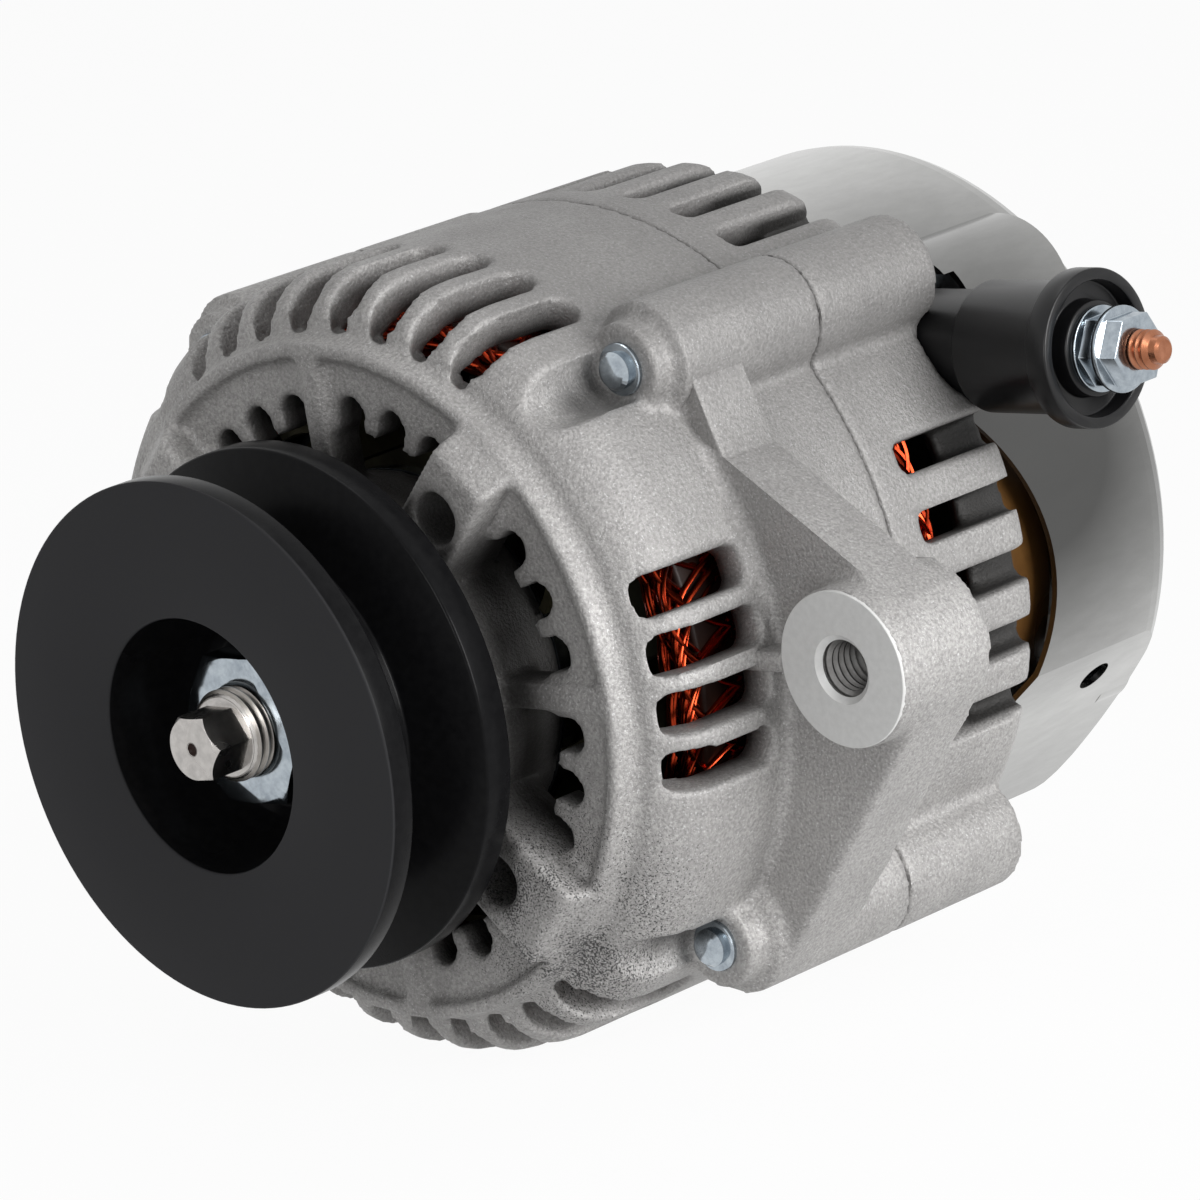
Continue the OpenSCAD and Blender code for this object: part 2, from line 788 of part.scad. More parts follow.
module cover_spacers() {
    color("#c0c4c8") shaft_frame() {
        spot(stud_circle_r, stud_angles[0], 0)
            tube(cover_stud_r, 4.4, body_rear, well_floor - cover_wall);
        for (a = [-42, -162]) spot(stud_circle_r, a, 0)
            tube(cover_stud_r, 4.4, pos_z + pos_t + 1.5, well_floor - cover_wall);
    }
}

module cover_nuts() {
    color("#c8ccd0") shaft_frame() for (a = stud_angles) spot(stud_circle_r, a, 0)
        difference() {
            hexagon(8, well_floor, well_floor + 4.5);
            rod(cover_stud_r, well_floor - 1, well_floor + 5);
        }
}

lobe_r = 13;
lobe_at = 46;
lobe_angle = 43;

// The cover's outside, drawn in by a margin so that the same form makes its inside.
module cover_form(m) {
    r = cover_r - m;
    z1 = cover_rear - m;
    c = 7 - m;
    difference() {
        union() {
            rotate_extrude() polygon(concat(
                [[0, body_rear - 1 - m], [r, body_rear - 1 - m]],
                [for (t = [0:15:90]) [r - c + c * cos(t), z1 - c + c * sin(t)]],
                [[0, z1]]
            ));
            spot(lobe_at, lobe_angle, 0) rod(lobe_r - m, body_rear - 1 - m, z1 - 9);
        }
        turn(cover_flat_angle)
            block([cover_flat - m, cover_r + 9], [-60, 60], [body_rear - 3, cover_rear + 1]);
    }
}

scallop_r = 42;

// A wave in the cover's front edge, its crest at the given station.
module scallop(a, crest, r) {
    turn(a) translate([0, 0, crest - r]) radial_rod(r, 40, 75);
}

module cover_vents() {
    for (a = [18, 100, 138, -102]) turn(a) for (k = [-1, 0, 1]) turn(k * 11)
        block([26, 42], [-1.8, 1.8], [cover_rear - 2, cover_rear + 1]);
}

module rear_cover() {
    color("#d2d2ce") shaft_frame() difference() {
        union() {
            difference() {
                cover_form(0);
                cover_form(cover_wall);
                rod(cover_r + 9, body_rear - 3, body_rear);
                for (a = stud_angles) spot(stud_circle_r, a, 0)
                    rod(well_r - cover_wall, well_floor, cover_rear + 1);
            }
            for (a = stud_angles) spot(stud_circle_r, a, 0) {
                tube(well_r - cover_wall, well_r, well_floor - cover_wall, cover_rear - cover_wall / 2);
                rod(well_r, well_floor - cover_wall, well_floor);
            }
        }
        for (a = stud_angles) spot(stud_circle_r, a, 0)
            rod(cover_stud_r, well_floor - 3, cover_rear + 1);
        cover_vents();
        scallop(-9, body_rear + 10.8, scallop_r);
        scallop(44, body_rear + 8, 9.5);
        scallop(-112, body_rear + 8, scallop_r);
        scallop(108, body_rear + 3, scallop_r);
        stud_axis() block([neck_start, cover_r + 9], [-9.2, 9.8], [-9, neck_r + 0.7]);
        turn(regulator_angle) block([40, 75], [-11, 11], [body_rear - 1, body_rear + 20.5]);
        turn(-33) translate([0, 0, body_rear + 27]) radial_rod(2.8, 40, 60);
    }
}

module voltage_regulator() {
    color("#2b2d30") shaft_frame() turn(regulator_angle) {
        block([18, 46], [-13, 12], [body_rear, body_rear + 18]);
        for (y = [-12:4:8]) block([20, 45], [y, y + 1.6], [body_rear + 17, body_rear + 27]);
    }
}

socket_z = [body_rear + 3.5, body_rear + 19.5];
socket_end = 67;

module plug_socket() {
    color("#1e1f22") shaft_frame() turn(regulator_angle) difference() {
        block([46, socket_end], [-10, 10], socket_z);
        block([52, socket_end + 1], [-8.4, 8.4], [socket_z[0] + 1.6, socket_z[1] - 1.6]);
        for (y = [-5, 0, 5]) block([45, 53], [y - 1.1, y + 1.1],
            [(socket_z[0] + socket_z[1]) / 2 - 0.4, (socket_z[0] + socket_z[1]) / 2 + 0.4]);
    }
}

module plug_pins() {
    zc = (socket_z[0] + socket_z[1]) / 2;
    color("#c8a860") shaft_frame() turn(regulator_angle)
        for (y = [-5, 0, 5]) block([46, 60], [y - 1.1, y + 1.1], [zc - 0.4, zc + 0.4]);
}

holder_screw_r = 1.6;
holder_rear = brush_rear_z + 6;

module brush_pocket(z) {
    block([-brush[1] / 2 - brush_play, brush[1] / 2 + brush_play], [-holder_top + 2, 0],
        [z - brush[0] / 2 - brush_play, z + brush[0] / 2 + brush_play]);
}

module brush_holder() {
    color("#25221f") shaft_frame() difference() {
        block([-8, 8], [-holder_top, -holder_bottom], [body_rear, holder_rear]);
        brush_pocket(brush_front_z);
        brush_pocket(brush_rear_z);
        for (s = [-1, 1]) translate([s * 5.5, -29, 0])
            rod(holder_screw_r, body_rear - 1, holder_rear + 1);
    }
}

module holder_screws() {
    color("#c8ccd0") shaft_frame() for (s = [-1, 1]) translate([s * 5.5, -29, 0]) {
        rod(holder_screw_r, body_rear - end_plate_t, holder_rear);
        rod(2.4, holder_rear, holder_rear + 2);
    }
}

module carbon_brush(z) {
    difference() {
        block([-brush[1] / 2, brush[1] / 2], [-slip_r - brush[2], -slip_r + 1],
            [z - brush[0] / 2, z + brush[0] / 2]);
        rod(slip_r + brush_gap, z - brush[0], z + brush[0]);
    }
}

module brush_front() { color("#3a3634") shaft_frame() carbon_brush(brush_front_z); }

module brush_rear() { color("#3a3634") shaft_frame() carbon_brush(brush_rear_z); }

// A coil from the brush's back to the end of its pocket.
module brush_spring(z) {
    length = holder_top - 2 - slip_r - brush[2];
    translate([0, -slip_r - brush[2], z]) rotate([90, 0, 0])
        linear_extrude(length, twist = -360 * spring_turns, $fn = 14) polygon(concat(
            [for (t = [0:15:120]) (spring_r + spring_wire / 2) * [cos(t), sin(t)]],
            [for (t = [120:-15:0]) (spring_r - spring_wire / 2) * [cos(t), sin(t)]]
        ));
}

module brush_spring_front() { color("#c0c0c0") shaft_frame() brush_spring(brush_front_z); }

module brush_spring_rear() { color("#c0c0c0") shaft_frame() brush_spring(brush_rear_z); }

module terminal_insulator() {
    color("#141414") shaft_frame() stud_axis() difference() {
        union() {
            radial_rod(neck_r, neck_start, flange_start + 1);
            radial_rod(shroud_r, shroud_start, flange_start + 0.5);
            radial_rod(flange_r, flange_start, flange_end);
        }
        radial_rod(stud_r, neck_start - 1, flange_end + 1);
        difference() {
            radial_rod(flange_r - 1.8, flange_end - 3, flange_end + 1);
            radial_rod(7.2, flange_end - 4, flange_end + 2);
        }
    }
}

module terminal_stud() {
    color("#b87350") shaft_frame() stud_axis() {
        radial_rod(stud_r, neck_start - strap_t - 0.5, flange_end);
        radial_rod(stud_pitch_r, flange_end - 1, stud_tip - 1);
        radial_rod(stud_r, flange_end + 2 * terminal_nut_h + 0.3, stud_tip);
        translate([neck_start - strap_t - 3, 0, 0]) rotate([0, 90, 0])
            cylinder(r = 5, h = 3, $fn = 6);
    }
}

module terminal_strap() {
    color("#b87350") shaft_frame() difference() {
        union() {
            block([neck_start - strap_t, neck_start], [-stud_height - 4.8, -stud_height + 5.8],
                [stud_z - 5.2, stud_z + 6]);
            block([neck_start - strap_t, neck_start], [-stud_height + 0.5, -stud_height + 5.8],
                [stud_z + 5, pos_z]);
        }
        stud_axis() radial_rod(stud_r, 0, body_r);
    }
}

module flange_nut(x) {
    difference() {
        union() {
            radial_rod(nut_flange_r, x, x + 1.4);
            translate([x + 1, 0, 0]) rotate([0, 90, 0])
                cylinder(r = 5 / cos(30), h = terminal_nut_h - 1, $fn = 6);
        }
        radial_rod(stud_pitch_r, x - 1, x + terminal_nut_h + 1);
    }
}

module terminal_nuts() {
    color("#c8d0d8") shaft_frame() stud_axis() {
        flange_nut(flange_end);
        flange_nut(flange_end + terminal_nut_h);
    }
}

drive_end_bracket();
rear_bracket();
pulley();
pulley_nut();
rotor_shaft();
spacer_collar();
front_outer_race();
front_inner_race();
front_balls();
front_cage();
front_seals();
rear_outer_race();
rear_inner_race();
rear_balls();
rear_cage();
rear_seals();
retainer_plate();
retainer_screws();
stator_core();
stator_winding();
stator_leads();
through_bolts();
claw_pole_front();
claw_pole_rear();
coil_bobbin();
field_coil();
front_fan();
rear_fan();
slip_rings();
slip_ring_core();
pivot_bushing();
rectifier_insulator();
negative_plate();
positive_plate();
negative_diodes();
positive_diodes();
cover_studs();
cover_spacers();
cover_nuts();
rear_cover();
voltage_regulator();
plug_socket();
plug_pins();
brush_holder();
holder_screws();
brush_front();
brush_rear();
brush_spring_front();
brush_spring_rear();
terminal_insulator();
terminal_stud();
terminal_strap();
terminal_nuts();
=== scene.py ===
"""Engine alternator with a V-belt pulley: finishes, detailed pieces, stage, lights and camera."""

import json
import logging
import math
from dataclasses import dataclass, field
from enum import Enum
from typing import ClassVar, Sequence

import bmesh
import bpy
from mathutils import Matrix, Vector
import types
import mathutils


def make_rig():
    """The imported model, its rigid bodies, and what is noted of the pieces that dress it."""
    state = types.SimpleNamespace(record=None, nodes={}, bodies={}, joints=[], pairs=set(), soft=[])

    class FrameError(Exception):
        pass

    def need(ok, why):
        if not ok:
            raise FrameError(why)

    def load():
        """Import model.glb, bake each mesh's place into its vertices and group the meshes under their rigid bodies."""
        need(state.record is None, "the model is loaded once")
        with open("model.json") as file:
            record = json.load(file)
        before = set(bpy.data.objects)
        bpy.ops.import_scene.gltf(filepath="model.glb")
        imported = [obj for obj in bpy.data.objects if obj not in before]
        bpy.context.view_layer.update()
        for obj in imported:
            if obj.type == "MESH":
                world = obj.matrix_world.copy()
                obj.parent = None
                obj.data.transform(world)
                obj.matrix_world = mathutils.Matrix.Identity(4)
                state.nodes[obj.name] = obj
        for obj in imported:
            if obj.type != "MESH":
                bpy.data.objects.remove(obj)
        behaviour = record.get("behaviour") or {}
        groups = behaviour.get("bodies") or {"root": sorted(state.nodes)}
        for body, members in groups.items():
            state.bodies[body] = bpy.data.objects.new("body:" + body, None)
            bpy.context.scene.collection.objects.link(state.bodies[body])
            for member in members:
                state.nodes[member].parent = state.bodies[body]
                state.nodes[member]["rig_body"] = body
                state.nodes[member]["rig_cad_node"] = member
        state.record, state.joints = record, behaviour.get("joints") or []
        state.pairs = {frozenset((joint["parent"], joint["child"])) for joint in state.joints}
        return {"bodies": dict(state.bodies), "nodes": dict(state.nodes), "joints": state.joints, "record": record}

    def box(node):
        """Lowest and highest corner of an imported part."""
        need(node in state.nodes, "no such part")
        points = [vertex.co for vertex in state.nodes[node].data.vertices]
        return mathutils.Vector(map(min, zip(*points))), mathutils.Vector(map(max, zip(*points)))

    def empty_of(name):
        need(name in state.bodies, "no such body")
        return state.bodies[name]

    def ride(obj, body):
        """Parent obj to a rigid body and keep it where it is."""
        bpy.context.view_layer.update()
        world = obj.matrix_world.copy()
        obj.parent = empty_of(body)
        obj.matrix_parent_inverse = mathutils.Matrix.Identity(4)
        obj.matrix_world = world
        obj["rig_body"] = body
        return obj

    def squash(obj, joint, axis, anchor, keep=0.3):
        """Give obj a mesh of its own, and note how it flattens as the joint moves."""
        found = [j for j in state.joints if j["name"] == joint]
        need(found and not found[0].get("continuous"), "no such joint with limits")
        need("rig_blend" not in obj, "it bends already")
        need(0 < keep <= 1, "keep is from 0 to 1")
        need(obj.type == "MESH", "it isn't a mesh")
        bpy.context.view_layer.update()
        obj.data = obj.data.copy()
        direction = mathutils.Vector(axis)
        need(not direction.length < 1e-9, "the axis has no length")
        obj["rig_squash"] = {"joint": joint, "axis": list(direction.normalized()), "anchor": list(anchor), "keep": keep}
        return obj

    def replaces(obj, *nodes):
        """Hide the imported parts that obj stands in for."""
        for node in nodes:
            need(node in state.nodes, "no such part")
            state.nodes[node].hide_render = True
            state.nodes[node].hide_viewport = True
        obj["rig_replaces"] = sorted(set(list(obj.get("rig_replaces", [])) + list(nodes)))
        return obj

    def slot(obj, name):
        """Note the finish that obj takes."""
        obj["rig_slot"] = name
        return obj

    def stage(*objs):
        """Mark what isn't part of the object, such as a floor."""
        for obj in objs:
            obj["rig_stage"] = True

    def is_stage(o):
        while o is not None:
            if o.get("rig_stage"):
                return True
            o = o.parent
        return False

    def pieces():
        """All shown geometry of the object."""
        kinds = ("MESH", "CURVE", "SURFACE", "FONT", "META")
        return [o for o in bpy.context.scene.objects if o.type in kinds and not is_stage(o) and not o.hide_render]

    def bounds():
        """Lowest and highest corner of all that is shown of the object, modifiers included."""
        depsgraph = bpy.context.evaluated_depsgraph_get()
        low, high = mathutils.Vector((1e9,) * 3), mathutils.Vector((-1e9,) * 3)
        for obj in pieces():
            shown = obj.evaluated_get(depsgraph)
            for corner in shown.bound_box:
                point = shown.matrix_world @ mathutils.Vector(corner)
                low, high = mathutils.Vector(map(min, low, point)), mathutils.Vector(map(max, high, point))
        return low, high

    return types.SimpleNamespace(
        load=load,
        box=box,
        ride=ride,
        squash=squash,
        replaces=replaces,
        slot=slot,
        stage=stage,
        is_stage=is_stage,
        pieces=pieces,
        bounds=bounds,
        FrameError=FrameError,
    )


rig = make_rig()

MM = 0.001
MERGE = 1e-7  # metres between vertices that are merged in a new mesh
WELD = 1e-6  # metres between vertices that are merged in a copy of a node
LOG = logging.getLogger("alternator")
Triple = tuple[float, float, float]
Socket = bpy.types.NodeSocket
Profile = Sequence[tuple[float, float]]
EVEN: Triple = (1.0, 1.0, 1.0)


class Grain(Enum):
    """The surface pattern a finish carries."""

    PLAIN = "plain"
    CAST = "cast"
    TURNED = "turned"
    SHEET = "sheet"
    WIRE = "wire"
    MOULDED = "moulded"
    PAINT = "paint"


@dataclass(frozen=True)
class Finish:
    """One finish of the alternator, made from nodes on Object coordinates.

    Attributes:
        name: Name of the material.
        colour: Main linear colour.
        second: Linear colour that the grain mixes in.
        metallic: How metallic the surface is.
        roughness: Middle roughness.
        spread: How far the roughness strays from the middle.
        grain: The pattern of the surface.
        scale: Grain features per metre.
        bump: Height of the grain in metres.
        coat: Weight of a clear coat.
        specular: Strength of the plain reflection.
        coat_roughness: Roughness of every clear coat.
    """

    name: str
    colour: Triple
    second: Triple
    metallic: float
    roughness: float
    spread: float
    grain: Grain
    scale: float
    bump: float
    coat: float = 0.0
    specular: float = 0.5
    coat_roughness: ClassVar[float] = 0.12

    def build(self) -> bpy.types.Material:
        """Builds the material once and returns it.

        Returns:
            The material of this finish.
        """
        title = "finish_" + self.name
        known = bpy.data.materials.get(title)
        if known:
            return known
        made = bpy.data.materials.new(title)
        made.use_nodes = True
        tree = made.node_tree
        shader = tree.nodes["Principled BSDF"]
        shader.inputs["Metallic"].default_value = self.metallic
        shader.inputs["Coat Weight"].default_value = self.coat
        shader.inputs["Coat Roughness"].default_value = self.coat_roughness
        shader.inputs["Specular IOR Level"].default_value = self.specular
        Pattern(tree, self).link(shader)
        return made


@dataclass(frozen=True)
class Hollow:
    """A stretch of the castings whose inside takes painted shade.

    Attributes:
        dark_r: Radius up to which the painted shade is strongest, in metres.
        clear_r: Radius from which nothing is darkened.
        start: Station where the change along the shaft starts.
        end: Station where it ends.
        before: Share of the darkness before the start.
        after: Share of the darkness past the end.
        depth: Strongest share of the painted shadow colour.
    """

    dark_r: float
    clear_r: float
    start: float
    end: float
    before: float
    after: float
    depth: float


# Painted shade inside the front windows, the comb slots, the rear channels and the hub in the pulley's shadow.
SHADED_HOLLOWS = (
    Hollow(0.0560, 0.0592, 0.031, 0.036, 0.0, 1.0, 0.92),
    Hollow(0.0510, 0.0530, 0.0236, 0.0262, 0.0, 1.0, 0.9),
    Hollow(0.0584, 0.0598, 0.090, 0.095, 0.0, 1.0, 0.88),
    Hollow(0.0340, 0.0440, 0.0280, 0.0300, 1.0, 0.0, 0.72),
)
# Linear colours laid over the finishes: painted shadow, painted glints, overspray and the lighter grey of the pulley's
# front face.
SHADOW: Triple = (0.018, 0.017, 0.016)
PAINTED_GLINT: Triple = (0.72, 0.72, 0.73)
OVERSPRAY: Triple = (0.014, 0.014, 0.015)
FRONT_FACE_GREY: Triple = (0.032, 0.032, 0.034)
# Middles of the painted shade on the upper rear, of the painted shade round the output terminal and of the sprayed
# place, in metres.
UPPER_REAR_SHADE: Triple = (0.030, 0.088, 0.062)
TERMINAL_SHADE: Triple = (0.050, 0.116, 0.014)
SPRAYED_FOOT: Triple = (0.034, 0.019, -0.037)
# Stations between which the pulley's matt front face begins, in metres.
FACE_EDGE = (-0.01148, -0.01120)


@dataclass
class Pattern:
    """Node work that turns a finish's grain into colour, roughness and height.

    Attributes:
        tree: Node tree that takes the nodes.
        finish: The finish to draw.
    """

    tree: bpy.types.NodeTree
    finish: Finish

    def node(self, kind: str, **values: object) -> bpy.types.Node:
        """Adds a node and sets its inputs by name.

        Args:
            kind: Blender's node type.
            values: Input names, with spaces as underscores, and their values.

        Returns:
            The new node.
        """
        made = self.tree.nodes.new(kind)
        for name, value in values.items():
            made.inputs[name.replace("_", " ")].default_value = value
        return made

    def wire(self, start: Socket, end: Socket) -> None:
        """Links two sockets."""
        self.tree.links.new(start, end)

    def place(self, stretch: Triple = EVEN) -> Socket:
        """Gives Object coordinates, stretched along the three axes.

        Args:
            stretch: Factor for each axis.

        Returns:
            The socket with the coordinates.
        """
        texture = self.tree.nodes.new("ShaderNodeTexCoord")
        mapping = self.tree.nodes.new("ShaderNodeMapping")
        mapping.inputs["Scale"].default_value = stretch
        self.wire(texture.outputs["Object"], mapping.inputs["Vector"])
        return mapping.outputs["Vector"]

    def noise(self, scale: float, detail: float, stretch: Triple = EVEN) -> Socket:
        """Adds a noise field.

        Args:
            scale: Features per metre.
            detail: Octaves of the noise.
            stretch: Factor for each axis.

        Returns:
            The socket with the noise value.
        """
        made = self.node("ShaderNodeTexNoise", Scale=scale, Detail=detail, Roughness=0.6)
        self.wire(self.place(stretch), made.inputs["Vector"])
        return made.outputs["Fac"]

    def ramp(self, value: Socket, low: float, high: float, start: float, end: float) -> Socket:
        """Maps a value's range to another one and clamps it.

        Args:
            value: Socket to map.
            low: Lower end of the incoming range.
            high: Upper end of the incoming range.
            start: Result at the lower end.
            end: Result at the upper end.

        Returns:
            The mapped socket.
        """
        made = self.tree.nodes.new("ShaderNodeMapRange")
        for name, number in (("From Min", low), ("From Max", high), ("To Min", start), ("To Max", end)):
            made.inputs[name].default_value = number
        self.wire(value, made.inputs["Value"])
        return made.outputs["Result"]

    def mix(self, amount: Socket, first: Triple | Socket, second: Triple) -> Socket:
        """Mixes two colours.

        Args:
            amount: Socket with the share of the second colour.
            first: First colour, or the socket that gives it.
            second: Second colour.

        Returns:
            The socket with the mixed colour.
        """
        made = self.tree.nodes.new("ShaderNodeMix")
        made.data_type = "RGBA"
        self.wire(amount, made.inputs["Factor"])
        start, end = (s for s in made.inputs if s.type == "RGBA")
        end.default_value = (*second, 1.0)
        if isinstance(first, tuple):
            start.default_value = (*first, 1.0)
        else:
            self.wire(first, start)
        return next(s for s in made.outputs if s.type == "RGBA")

    def combine(self, kind: str, first: Socket, second: Socket | float) -> Socket:
        """Combines two values with a Math node.

        Args:
            kind: Operation of the node.
            first: First value.
            second: Second value, or a number.

        Returns:
            The result's socket.
        """
        made = self.tree.nodes.new("ShaderNodeMath")
        made.operation = kind
        made.use_clamp = kind in ("MULTIPLY", "ADD")
        self.wire(first, made.inputs[0])
        if isinstance(second, (int, float)):
            made.inputs[1].default_value = second
        else:
            self.wire(second, made.inputs[1])
        return made.outputs[0]

    def distance(self, point: Triple) -> Socket:
        """Gives the distance of the surface from a point.

        Args:
            point: The point, in metres.

        Returns:
            The socket with the distance in metres.
        """
        made = self.tree.nodes.new("ShaderNodeVectorMath")
        made.operation = "DISTANCE"
        made.inputs[1].default_value = point
        self.wire(self.place(), made.inputs[0])
        return made.outputs["Value"]

    def height(self, shader: bpy.types.Node, value: Socket, depth: float) -> None:
        """Gives the shader a bump.

        Args:
            shader: Principled shader of the material.
            value: Socket with the height, from 0 to 1.
            depth: Height of the bump in metres.
        """
        made = self.node("ShaderNodeBump", Strength=1.0, Distance=depth)
        self.wire(value, made.inputs["Height"])
        self.wire(made.outputs["Normal"], shader.inputs["Normal"])

    def station(self) -> Socket:
        """Gives the surface's station along the shaft.

        Returns:
            The socket with the station in metres.
        """
        made = self.tree.nodes.new("ShaderNodeSeparateXYZ")
        self.wire(self.place(), made.inputs[0])
        return made.outputs["Y"]

    def radius(self) -> Socket:
        """Gives the surface's distance from the shaft axis.

        Returns:
            The socket with the distance in metres.
        """
        made = self.tree.nodes.new("ShaderNodeVectorMath")
        made.operation = "LENGTH"
        self.wire(self.place((1.0, 0.0, 1.0)), made.inputs[0])
        return made.outputs["Value"]

    def dimmed(self, factor: float) -> Triple:
        """Gives the finish's main colour at a share of its level."""
        return tuple(factor * c for c in self.finish.colour)

    def recess(self, colour: Socket) -> Socket:
        """Paints shade on the casting's upper rear side and inside it at the windows, the comb, the rear channels and
        the hub in the pulley's shadow.

        Args:
            colour: Colour so far.

        Returns:
            The new colour.
        """
        # Painted shade over the upper rear side.
        shade = self.ramp(self.distance(UPPER_REAR_SHADE), 0.035, 0.092, 0.5, 0.0)
        colour = self.mix(shade, colour, self.dimmed(0.42))
        # Painted shade inside each hollow.
        for zone in SHADED_HOLLOWS:
            inner = self.ramp(self.radius(), zone.dark_r, zone.clear_r, zone.depth, 0.0)
            along = self.ramp(self.station(), zone.start, zone.end, zone.before, zone.after)
            colour = self.mix(self.combine("MULTIPLY", inner, along), colour, SHADOW)
        return colour

    def link(self, shader: bpy.types.Node) -> None:
        """Links the finish's pattern to the shader.

        Args:
            shader: Principled shader of the material.
        """
        finish = self.finish
        streaks = {Grain.TURNED: (1.0, 12.0, 1.0), Grain.SHEET: (1.0, 0.35, 1.0)}
        stretch = streaks.get(finish.grain, EVEN)
        fine = self.noise(finish.scale, 4.0, stretch)
        broad = self.noise(finish.scale * 0.06, 3.0)
        share = self.ramp(fine, 0.35, 0.7, 0.0, 1.0)
        colour = self.mix(share, finish.colour, finish.second)
        low, high = finish.roughness - finish.spread, finish.roughness + finish.spread
        rough = self.ramp(broad, 0.3, 0.7, low, high)
        if finish.grain is Grain.CAST:
            colour = self.recess(self.weather_and_glints(colour))
        if finish.grain is Grain.SHEET:
            colour = self.tone_sheet(colour)
        if finish.grain is Grain.PAINT:
            # The pulley's front face takes a lighter grey and a rougher surface than the rest of the paint.
            face = self.ramp(self.station(), *FACE_EDGE, 1.0, 0.0)
            colour = self.mix(face, colour, FRONT_FACE_GREY)
            rough = self.ramp(face, 0.0, 1.0, 0.24, 0.5)
        self.wire(colour, shader.inputs["Base Color"])
        self.wire(rough, shader.inputs["Roughness"])
        if finish.bump > 0.0:
            self.height(shader, fine, finish.bump)

    def tone_sheet(self, colour: Socket) -> Socket:
        """Paints dark reflections on the sheet as broad patches, and painted shade round the output terminal.

        Args:
            colour: Colour so far.

        Returns:
            The new colour.
        """
        # Painted dark reflections in broad patches on the sheet.
        dark_reflections = self.ramp(self.noise(16.0, 1.0, (1.0, 0.3, 1.0)), 0.42, 0.66, 0.0, 0.42)
        colour = self.mix(dark_reflections, colour, self.dimmed(0.30))
        # Painted shade round the output terminal.
        near = self.ramp(self.distance(TERMINAL_SHADE), 0.018, 0.050, 0.95, 0.0)
        return self.mix(near, colour, self.dimmed(0.16))

    def weather_and_glints(self, colour: Socket) -> Socket:
        """Adds the casting's mottling, painted glints as bright specks and the dark overspray low on its front.

        Args:
            colour: Colour so far.

        Returns:
            The new colour.
        """
        patches = self.ramp(self.noise(60.0, 3.0), 0.40, 0.64, 0.0, 0.30)
        colour = self.mix(patches, colour, self.dimmed(0.78))
        # Painted glints: bright specks of colour.
        specks = self.ramp(self.noise(3000.0, 1.0), 0.63, 0.74, 0.0, 0.55)
        colour = self.mix(specks, colour, PAINTED_GLINT)
        near = self.ramp(self.distance(SPRAYED_FOOT), 0.006, 0.030, 1.0, 0.0)
        clouds = self.ramp(self.noise(80.0, 3.0), 0.36, 0.56, 0.35, 1.0)
        shape = self.combine("MULTIPLY", near, clouds)
        dust = self.combine("ADD", self.noise(3300.0, 2.0), self.combine("MULTIPLY", shape, 0.21))
        drops = self.ramp(dust, 0.655, 0.72, 0.0, 0.9)
        spray = self.combine("MULTIPLY", drops, self.ramp(shape, 0.02, 0.12, 0.0, 1.0))
        return self.mix(spray, colour, OVERSPRAY)


def show(name: str, data: bpy.types.ID) -> bpy.types.Object:
    """Makes an object of some data and links it to the scene.

    Args:
        name: Name of the object.
        data: Mesh, curve, lamp or camera data.

    Returns:
        The new object.
    """
    made = bpy.data.objects.new(name, data)
    bpy.context.scene.collection.objects.link(made)
    return made


def shift(mesh: bmesh.types.BMesh, x: float, z: float) -> None:
    """Moves a mesh across the shaft, by millimetres."""
    bmesh.ops.translate(mesh, verts=list(mesh.verts), vec=(x * MM, 0.0, z * MM))


def thread_turn(root: float, crest: float, start: float, steps: Sequence[float]) -> list[tuple[float, float]]:
    """Gives the outline of one turn of a thread.

    Args:
        root: Radius at the foot of the ridge.
        crest: Radius at its top.
        start: Station of the turn.
        steps: Distances of the four corners from the start.

    Returns:
        Pairs of radius and station.
    """
    return [(radius, start + step) for radius, step in zip((root, crest, crest, root), steps)]


